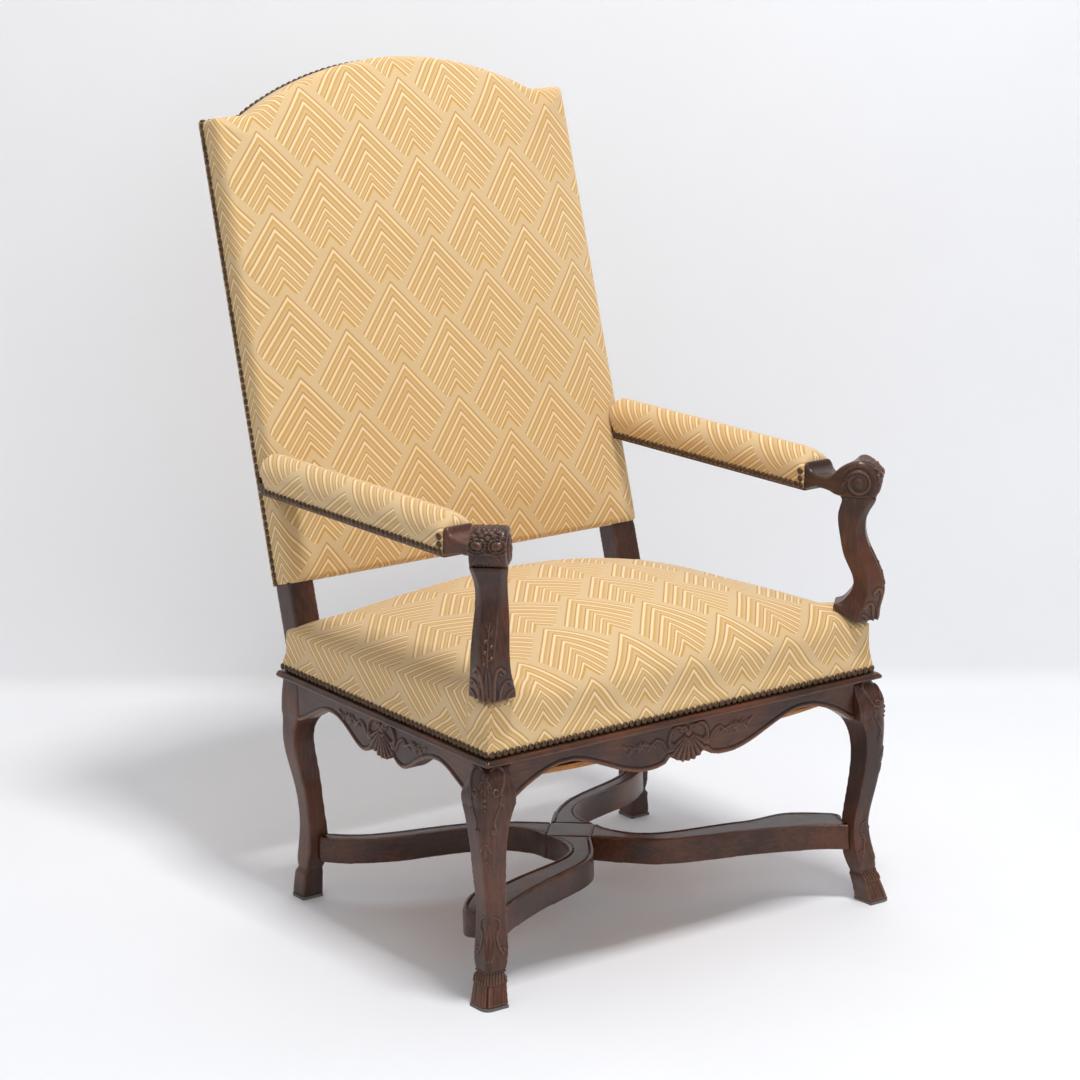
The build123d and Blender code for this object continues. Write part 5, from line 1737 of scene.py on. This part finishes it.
@dataclass
class StretcherArm(WoodPiece):
    """One arm of the stretcher; a front one swells to its outer side before the leg."""

    swelling: float = 0.0

    def shape(self, points: Points) -> Points:
        """Push the outer side out."""
        x, behind = np.abs(points[:, 0]), points[:, 1] - FRONT
        out, side = (x - behind) * ROOT_HALF, (x + behind) * ROOT_HALF
        share = smooth(0.040, 0.105, out) * (1 - smooth(0.160, 0.188, out)) * smooth(0.225, 0.262, side)
        push = self.swelling * share
        reach = np.clip((side + push - 0.262) / 0.029, 0.0, 1.0)
        wrap = 0.64 * push * np.sqrt(1 - reach**2) * smooth(0.150, 0.168, out)
        moved = points.copy()
        moved[:, 0] += (push + wrap) * ROOT_HALF * np.sign(points[:, 0])
        moved[:, 1] += (push - wrap) * ROOT_HALF
        return moved


@dataclass
class Stretcher:
    """The X-shaped stretcher: a centre block and four arms with beaded upper edges."""

    woods: dict[str, Material]
    voxel: float = 0.0020
    ease: int = 2
    bead: Size = (0.0042, 0.0010, 0.0014)  # width, height and groove along the upper edges
    joint: float = 0.004  # how near to another arm an edge counts as a joint
    swelling: float = 0.025  # of the front arms beside the legs

    def build(self) -> list[Object]:
        """Ease and bead the five pieces together, so the beads run through the joints."""
        raw = {}
        rims = {}
        for node, wood in self.woods.items():
            swelling = self.swelling if "front" in node else 0.0
            arm = StretcherArm(node, wood, self.voxel, self.ease, swelling=swelling)
            piece = arm.build()
            points, facing = coordinates(piece.data), normals(piece.data)
            raw[node] = (arm, piece, points, facing)
            rims[node] = points[np.abs(facing[:, 2]) < 0.3][:, :2]
        outer = []
        for node, rim in rims.items():
            others = np.vstack([other for name, other in rims.items() if name != node])
            outer.append(rim[edge_gap(rim, others) > self.joint])
        outline = np.vstack(outer)
        made = []
        for arm, piece, points, facing in raw.values():
            top = facing[:, 2] > 0.6
            height = np.zeros(len(points))
            height[top] = bead(edge_gap(points[top][:, :2], outline), *self.bead)
            set_coordinates(piece.data, points + facing * height[:, None])
            piece.data.attributes.remove(piece.data.attributes["wear"])
            arm.rub(piece.data, np.zeros(len(points)), height)
            made.append(piece)
        return made


# Nails


@dataclass(frozen=True)
class NailRow:
    """A row of nails along a path, with the way its heads face."""

    points: tuple
    facing: tuple


@dataclass
class Nails:
    """Round-headed nails in close rows, made by one Geometry Nodes tree."""

    name: str
    node: str
    rows: list
    metal: Material
    radius: float = 0.0050
    high: float = 0.0033
    pitch: float = 0.0102
    lean: float = 0.12  # furthest that a head tilts
    sizes: Spot = (0.92, 1.05)
    seed: int = 7

    def tree(self) -> NodeTree:
        """The node tree: resample the rows and stand a head on each point."""
        tree = bpy.data.node_groups.new(self.name, "GeometryNodeTree")
        kinds = {"Geometry": "Geometry", "Pitch": "Float", "Radius": "Float", "Height": "Float"}
        for label, kind in (kinds | {"Seed": "Int", "Metal": "Material"}).items():
            tree.interface.new_socket(label, in_out="INPUT", socket_type="NodeSocket" + kind)
        tree.interface.new_socket("Geometry", in_out="OUTPUT", socket_type="NodeSocketGeometry")

        def add(kind: str, inputs: dict, settings: Optional[dict] = None) -> bpy.types.NodeOutputs:
            """Add a node and give its outputs."""
            return add_node(tree, kind, settings, inputs).outputs

        start = add("NodeGroupInput", {})
        path = add("GeometryNodeMeshToCurve", {"Mesh": start["Geometry"]})
        along = {"Curve": path["Curve"], "Length": start["Pitch"]}
        resample = add("GeometryNodeResampleCurve", along, {"mode": "LENGTH"})
        ball = add("GeometryNodeMeshUVSphere", {"Segments": 12, "Rings": 8, "Radius": 1.0})
        place = add("ShaderNodeSeparateXYZ", {0: add("GeometryNodeInputPosition", {})[0]})
        less = {"data_type": "FLOAT", "operation": "LESS_THAN"}
        under = add("FunctionNodeCompare", {0: place["Z"], 1: -0.1}, less)
        head = {"Geometry": ball["Mesh"], "Selection": under["Result"]}
        head = add("GeometryNodeDeleteGeometry", head)
        size = {"X": start["Radius"], "Y": start["Radius"], "Z": start["Height"]}
        size = add("ShaderNodeCombineXYZ", size)
        head = add("GeometryNodeTransform", {"Geometry": head["Geometry"], "Scale": size[0]})
        vector = {"data_type": "FLOAT_VECTOR"}
        facing = add("GeometryNodeInputNamedAttribute", {"Name": "facing"}, vector)
        tilt = {"Min": (-self.lean,) * 3, "Max": (self.lean,) * 3, "Seed": start["Seed"]}
        tilt = add("FunctionNodeRandomValue", tilt, vector)
        way = {0: facing["Attribute"], 1: tilt["Value"]}
        way = add("ShaderNodeVectorMath", way, {"operation": "ADD"})
        turn = add("FunctionNodeAlignRotationToVector", {"Vector": way[0]}, {"axis": "Z"})
        sizes = {2: self.sizes[0], 3: self.sizes[1], "Seed": start["Seed"]}
        sizes = add("FunctionNodeRandomValue", sizes, {"data_type": "FLOAT"})
        nails = {"Points": resample["Curve"], "Instance": head["Geometry"]}
        nails |= {"Rotation": turn["Rotation"], "Scale": sizes[1]}
        nails = add("GeometryNodeInstanceOnPoints", nails)
        nails = add("GeometryNodeRealizeInstances", {"Geometry": nails["Instances"]})
        nails = {"Geometry": nails["Geometry"], "Material": start["Metal"]}
        nails = add("GeometryNodeSetMaterial", nails)
        add("NodeGroupOutput", {"Geometry": nails["Geometry"]})
        return tree

    def build(self) -> Object:
        """Make the rows' paths, run the tree and keep its mesh."""
        points = []
        facings = []
        edges = []
        for row in self.rows:
            first = len(points)
            points += [tuple(point) for point in row.points]
            facings += [tuple(way) for way in row.facing]
            edges += [(first + i, first + i + 1) for i in range(len(row.points) - 1)]
        mesh = bpy.data.meshes.new(self.name)
        mesh.from_pydata(points, edges, [])
        layer = mesh.attributes.new("facing", "FLOAT_VECTOR", "POINT")
        layer.data.foreach_set("vector", np.array(facings, dtype=np.float32).ravel())
        piece = linked(self.name, mesh)
        modifier = piece.modifiers.new("nails", "NODES")
        modifier.node_group = self.tree()
        values = {"Pitch": self.pitch, "Radius": self.radius, "Height": self.high}
        values |= {"Seed": self.seed, "Metal": self.metal}
        for item in modifier.node_group.interface.items_tree:
            if item.in_out == "INPUT" and item.name in values:
                modifier[item.identifier] = values[item.name]
        apply_modifiers(piece)
        shade_smooth(piece)
        nodes = (self.node,) if self.node else ()
        return seated(piece, nodes)


def straight_row(start: Sequence[float], end: Sequence[float], way: Sequence[float]) -> NailRow:
    """A straight row with one facing."""
    return NailRow((tuple(start), tuple(end)), (tuple(way), tuple(way)))


@dataclass(frozen=True)
class NailLayout:
    """Where the rows of nails run."""

    seat_high: float = RAIL_TOP + 0.0058
    seat_front: float = FRONT + 0.0090
    seat_sides: Spot = (0.016, 0.527)  # behind the front edge, where the width is taken
    seat_ends: Spot = (0.014, 0.529)
    seat_out: float = 0.0018
    seat_rear: float = FRONT + 0.5328
    seat_rear_half: float = 0.260
    seat_splay: float = 0.022
    back_rear: float = 0.006 - FRAME_HALF
    back_grow: float = 0.0028
    back_end: float = 0.003
    crest_end: float = 0.2515
    crest_gap: float = 0.008  # angle left free at the arch's ends
    crest_steps: int = 60
    arm_high: float = ARM_LOW + 0.0078
    arm_half: float = 0.0250
    arm_ends: Spot = (0.112, 0.541)
    arm_up: Spot = (0.0102, 0.0206)  # the short rows up the pad's front corners
    arm_up_out: float = 0.0012
    arm_up_back: float = 0.1122
    tack_grow: float = 0.0022
    tack_drop: float = 0.0045
    tack_steps: int = 8

    def seat(self) -> list[NailRow]:
        """Rows along the seat's lower edge."""
        high = self.seat_high
        half = float(rail_half(np.array(RAIL_FRONT))) - 0.004
        lead = self.seat_front
        rows = [straight_row((-half, lead, high), (half, lead, high), (0, -1, 0))]
        near, far = rail_half(np.array(self.seat_sides)) + self.seat_out
        for side in (-1, 1):
            start = (side * near, FRONT + self.seat_ends[0], high)
            end = (side * far, FRONT + self.seat_ends[1], high)
            rows.append(straight_row(start, end, (side, self.seat_splay, 0)))
        half = self.seat_rear_half
        rear = self.seat_rear
        rows.append(straight_row((-half, rear, high), (half, rear, high), (0, 1, 0)))
        return rows

    def back(self, cushion: BackCushion) -> list[NailRow]:
        """Rows along the back's rear edge: sides, shoulders and arch."""
        rear = self.back_rear
        top = cushion.shoulder + self.back_grow
        rows = []
        for side in (-1, 1):
            low = back_spot(side * (cushion.low_half + self.back_grow), self.back_end, rear)
            wide = side * (cushion.top_half + self.back_grow)
            high = back_spot(wide, cushion.shoulder - self.back_end, rear)
            rows.append(straight_row(low, high, (side, 0.0, 0.0)))
            outer = back_spot(side * cushion.top_half, top, rear)
            inner = back_spot(side * self.crest_end, top, rear)
            rows.append(straight_row(outer, inner, RAKED[1]))
        radius, half = cushion.arch()
        half -= self.crest_gap
        middle = cushion.crest + self.back_grow - radius
        points = []
        ways = []
        for step in range(self.crest_steps + 1):
            angle = -half + 2 * half * step / self.crest_steps
            across, above = math.sin(angle), math.cos(angle)
            points.append(back_spot(radius * across, middle + radius * above, rear))
            ways.append((across, above * RAKE_SINE, above * RAKE_COSINE))
        rows.append(NailRow(tuple(points), tuple(ways)))
        return rows

    def arm(self, side: Side) -> list[NailRow]:
        """Rows along both lower edges of an arm pad and up its front end."""
        high = self.arm_high
        start, end = (FRONT + reach for reach in self.arm_ends)
        corner = FRONT + self.arm_up_back
        rows = []
        for face in (-1, 1):
            x = side.value * ARM_MIDDLE + face * self.arm_half
            rows.append(straight_row((x, start, high), (x, end, high), (face, 0.0, -0.12)))
            x += face * self.arm_up_out
            low, top = ((x, corner, high + rise) for rise in self.arm_up)
            rows.append(straight_row(low, top, (face, -0.15, 0.0)))
        return rows

    def tacks(self, seat: Object) -> list[NailRow]:
        """Rows of small tacks in the seat's cloth, round the front of the arm supports' feet."""
        rows = []
        outline = foot_outline(self.tack_grow)
        outline = outline[4:] + outline[:2]
        for side in (-1, 1):
            points = []
            ways = []
            for first, second in zip(outline, outline[1:]):
                for share in np.linspace(0.0, 1.0, self.tack_steps, endpoint=False):
                    out = first[0] + (second[0] - first[0]) * share
                    beside = first[1] + (second[1] - first[1]) * share
                    spot = SUPPORT_AXIS + OUTWARD * out + SIDEWAYS * beside
                    high = float(foot_base(np.array(out))) - self.tack_drop
                    near = Vector((side * spot.x, spot.y, high))
                    _, place, way, _ = seat.closest_point_on_mesh(near)
                    points.append(tuple(place))
                    ways.append(tuple(way))
            rows.append(NailRow(tuple(points), tuple(ways)))
        return rows


# Bottom cloth


@dataclass
class BottomCloth:
    """Hessian under the seat, nailed to the rails and sagging."""

    cloth: Material
    front: float = 0.0395
    rear: float = 0.5025
    inset: float = 0.0285  # inside the rails' outer faces
    # Distance behind the front edge past which the legs leave less room, and the half width there
    front_legs: Spot = (0.048, 0.2955)
    back_legs: Spot = (0.492, 0.2705)
    edge: float = 0.0285  # drop below the rails' tops at the edges
    sag: float = 0.078
    fullness: float = 0.28  # the less, the flatter the bowl
    middle: float = 0.27  # of the bowl, behind the front edge
    bowl_half: Spot = (0.30, 0.232)  # across and along
    ripple: float = 0.0015
    waves: Spot = (19.0, 13.0)  # of the ripple across and along, in radians to the metre
    steps: int = 48
    thick: float = 0.0012
    cut_width: float = 0.602
    turn_in: float = 0.012  # more length that the sag takes up

    def point(self, across: float, behind: float) -> Size:
        """A point of the sheet, from its share of the width and its distance behind the front."""
        half = float(rail_half(np.array(behind))) - self.inset
        if behind < self.front_legs[0]:
            half = min(half, self.front_legs[1])
        elif behind > self.back_legs[0]:
            half = min(half, self.back_legs[1])
        x = half * across
        deep = max(0.0, 1 - ((behind - self.middle) / self.bowl_half[1]) ** 2)
        bowl = deep * max(0.0, 1 - (x / self.bowl_half[0]) ** 2)
        wave = math.sin(self.waves[0] * x) * math.sin(self.waves[1] * behind)
        drop = self.edge + (self.sag - self.edge) * bowl**self.fullness + self.ripple * wave * bowl
        return (x, FRONT + behind, RAIL_TOP - drop)

    def build(self) -> Object:
        """Model and dress the sheet."""
        rows = self.steps + 1
        points = []
        for j in range(rows):
            behind = self.front + (self.rear - self.front) * j / self.steps
            points += [self.point(2 * i / self.steps - 1, behind) for i in range(rows)]
        faces = [
            (j * rows + i, j * rows + i + 1, (j + 1) * rows + i + 1, (j + 1) * rows + i)
            for j in range(self.steps)
            for i in range(self.steps)
        ]
        piece = new_object("bottom_hessian", points, faces)
        solid = piece.modifiers.new("thickness", "SOLIDIFY")
        solid.thickness = self.thick
        apply_modifiers(piece)
        shade_smooth(piece)
        paint(piece, self.cloth)
        seated(piece, ("bottom_cloth",))
        return piece


# Studio


@dataclass(frozen=True)
class Lamp:
    """A soft square light that faces a point."""

    name: str
    spot: Size
    aim: Size
    size: float
    power: float

    def build(self) -> None:
        """Add the light."""
        data = bpy.data.lights.new(self.name, "AREA")
        data.shape = "SQUARE"
        data.size = self.size
        data.energy = self.power
        lamp = linked(self.name, data)
        lamp.location = self.spot
        way = Vector(self.aim) - Vector(self.spot)
        lamp.rotation_euler = way.to_track_quat("-Z", "Y").to_euler()


@dataclass
class Studio:
    """Camera, light and backdrop."""

    spot: Size = (-2.718, -3.77566, 1.673)
    yaw: float = 35.91
    pitch: float = 14.04
    roll: float = -0.57
    focal_pixels: float = 3382.0
    frame_pixels: float = 1080.0
    sensor: float = 36.0
    lamps: tuple[Lamp, ...] = (
        Lamp("key", (-0.15, -1.25, 4.3), (0.0, 0.0, 0.5), 0.7, 106.0),
        Lamp("front", (-1.6, -4.6, 2.4), (0.0, 0.0, 0.7), 2.6, 38.0),
        Lamp("side", (-2.6, -0.4, 3.2), (-1.2, 1.9, 1.6), 2.0, 5.0),
    )
    sky: RGB = (0.985, 0.99, 1.0)
    sky_strength: float = 0.39
    wall: float = 0.92  # where the floor turns up, beyond the chair's middle
    wall_bend: float = 0.04
    wall_high: float = 6.0
    floor_front: float = -7.0
    floor_half: float = 9.0

    def build(self) -> None:
        """Set the camera, the lights and the floor."""
        yaw, pitch, roll = (math.radians(angle) for angle in (self.yaw, self.pitch, self.roll))
        ahead = Vector(
            (math.sin(yaw) * math.cos(pitch), math.cos(yaw) * math.cos(pitch), -math.sin(pitch))
        )
        level = Vector((math.cos(yaw), -math.sin(yaw), 0.0))
        above = level.cross(ahead)
        right = level * math.cos(roll) + above * math.sin(roll)
        top = above * math.cos(roll) - level * math.sin(roll)
        data = bpy.data.cameras.new("camera")
        data.sensor_fit = "HORIZONTAL"
        data.sensor_width = self.sensor
        data.lens = self.focal_pixels / self.frame_pixels * self.sensor
        data.clip_end = 100.0
        camera = linked("camera", data)
        turn = Matrix((right, top, -ahead)).transposed().to_4x4()
        camera.matrix_world = Matrix.Translation(self.spot) @ turn
        scene = bpy.context.scene
        scene.camera = camera
        scene.view_settings.view_transform = "Standard"
        for lamp in self.lamps:
            lamp.build()
        world = bpy.data.worlds.new("studio")
        world.use_nodes = True
        sky = world.node_tree.nodes["Background"].inputs
        sky["Color"].default_value = (*self.sky, 1.0)
        sky["Strength"].default_value = self.sky_strength
        scene.world = world
        self.backdrop()

    def backdrop(self) -> None:
        """A pale floor that sweeps up into a wall behind."""
        yaw = math.radians(self.yaw)
        ahead = Vector((math.sin(yaw), math.cos(yaw), 0.0))
        level = Vector((math.cos(yaw), -math.sin(yaw), 0.0))
        bend = self.wall_bend
        profile = [(self.floor_front, 0.0), (self.wall, 0.0)]
        for step in range(1, 9):
            angle = math.radians(90 * step / 8)
            profile.append((self.wall + bend * math.sin(angle), bend * (1 - math.cos(angle))))
        profile.append((self.wall + bend, self.wall_high))
        points = []
        for reach, high in profile:
            for side in (-self.floor_half, self.floor_half):
                points.append(ahead * reach + level * side + Vector((0.0, 0.0, high)))
        faces = [(2 * i, 2 * i + 1, 2 * i + 3, 2 * i + 2) for i in range(len(profile) - 1)]
        floor = new_object("studio_floor", points, faces)
        shade_smooth(floor)
        pale, paler = srgb(240, 241, 244), srgb(242, 243, 246)
        finish = PlainFinish("pale_paper", pale, paler, 0.8, scale=2.0, relief=0.0)
        paint(floor, finish.material())


def report(work: str, piece: Object) -> None:
    """Log a finished piece."""
    log.info("%s %s: %d faces", work, piece.name, len(piece.data.polygons))


def main() -> None:
    """Build every piece in order."""
    logging.basicConfig(level=logging.INFO)
    upright = WoodFinish("walnut_upright", Grain.ALONG_Z).material()
    crosswise = WoodFinish("walnut_crosswise", Grain.ALONG_X).material()
    lengthwise = WoodFinish("walnut_lengthwise", Grain.ALONG_Y).material()
    cloth = ChevronCloth("chevron_cloth").material()
    bronze = PlainFinish("nail_bronze", srgb(72, 56, 44), srgb(110, 86, 64), 0.42, 0.75, 220.0).material()
    hessian = WovenFinish("hessian", srgb(214, 150, 84), srgb(150, 92, 46), 0.0016).material()
    webbing = WovenFinish("jute_webbing", srgb(186, 160, 118), srgb(120, 96, 62), 0.0022).material()
    felt = PlainFinish("felt_grey", srgb(96, 92, 88), srgb(120, 116, 110), 0.95, 0.0, 300.0).material()
    beech = PlainFinish(
        "bare_beech", srgb(176, 134, 92), srgb(150, 108, 70), 0.6, 0.0, 30.0, 0.0003, (1.0, 8.0, 8.0)
    ).material()
    steel = PlainFinish("spring_steel", srgb(120, 104, 88), srgb(84, 72, 62), 0.4, 0.9, 180.0).material()

    kept = (
        (felt, ("felt_pads",)),
        (crosswise, ("back_seat_rail",)),
        (beech, ("corner_blocks", "crest_rail", "lower_back_rail")),
        (webbing, ("seat_webbing", "back_webbing", "spring_canvas")),
        (steel, ("seat_springs",)),
    )
    for material, nodes in kept:
        for node in nodes:
            paint(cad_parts[node], material)
            log.info("finished %s", node)

    side_apron = Apron(
        "side_apron_right", lengthwise, facing_way=(1.0, 0.0), middle=0.270, drop=0.0625, high=0.0030
    )
    pairs = (
        (FrontLeg("front_leg_right", upright), "front_leg_left"),
        (WoodPiece("back_leg_right", upright), "back_leg_left"),
        (WoodPiece("side_moulding_right", lengthwise, 0.0014, 2), "side_moulding_left"),
        (Arm("arm_right", lengthwise), "arm_left"),
        (ArmSupport("arm_support_right", upright), "arm_support_left"),
        (side_apron, "side_apron_left"),
    )
    for part, other in pairs:
        piece = part.build()
        report("carved", piece)
        report("mirrored", part.twin(piece, other))
    for part in (Apron("front_apron", crosswise), WoodPiece("front_moulding", crosswise, 0.0014, 2)):
        report("carved", part.build())
    arms = ("front_left", "front_right", "back_left", "back_right")
    woods = {"stretcher_centre": lengthwise} | {"stretcher_" + arm: crosswise for arm in arms}
    for piece in Stretcher(woods).build():
        report("carved", piece)

    seat = SeatCushion(cloth).build()
    report("upholstered", seat)
    back = BackCushion(cloth)
    pads = [ArmPad(cloth, side) for side in Side]
    for part in (back, OutsideBack(cloth, back), *pads, BottomCloth(hessian)):
        report("upholstered", part.build())

    bpy.context.view_layer.update()
    lay = NailLayout()
    tacks = Nails(
        "foot_tack_heads", "", lay.tacks(seat), bronze, radius=0.0010, high=0.0006, pitch=0.008, seed=2
    )
    for nails in (
        tacks,
        Nails("seat_nail_heads", "seat_nails", lay.seat(), bronze, seed=3),
        Nails("back_nail_heads", "back_nails", lay.back(back), bronze, seed=5),
        Nails("arm_nail_heads_left", "arm_nails_left", lay.arm(Side.LEFT), bronze, seed=7),
        Nails("arm_nail_heads_right", "arm_nails_right", lay.arm(Side.RIGHT), bronze, seed=11),
    ):
        report("nailed", nails.build())

    Studio().build()


if __name__ == "__main__":
    main()
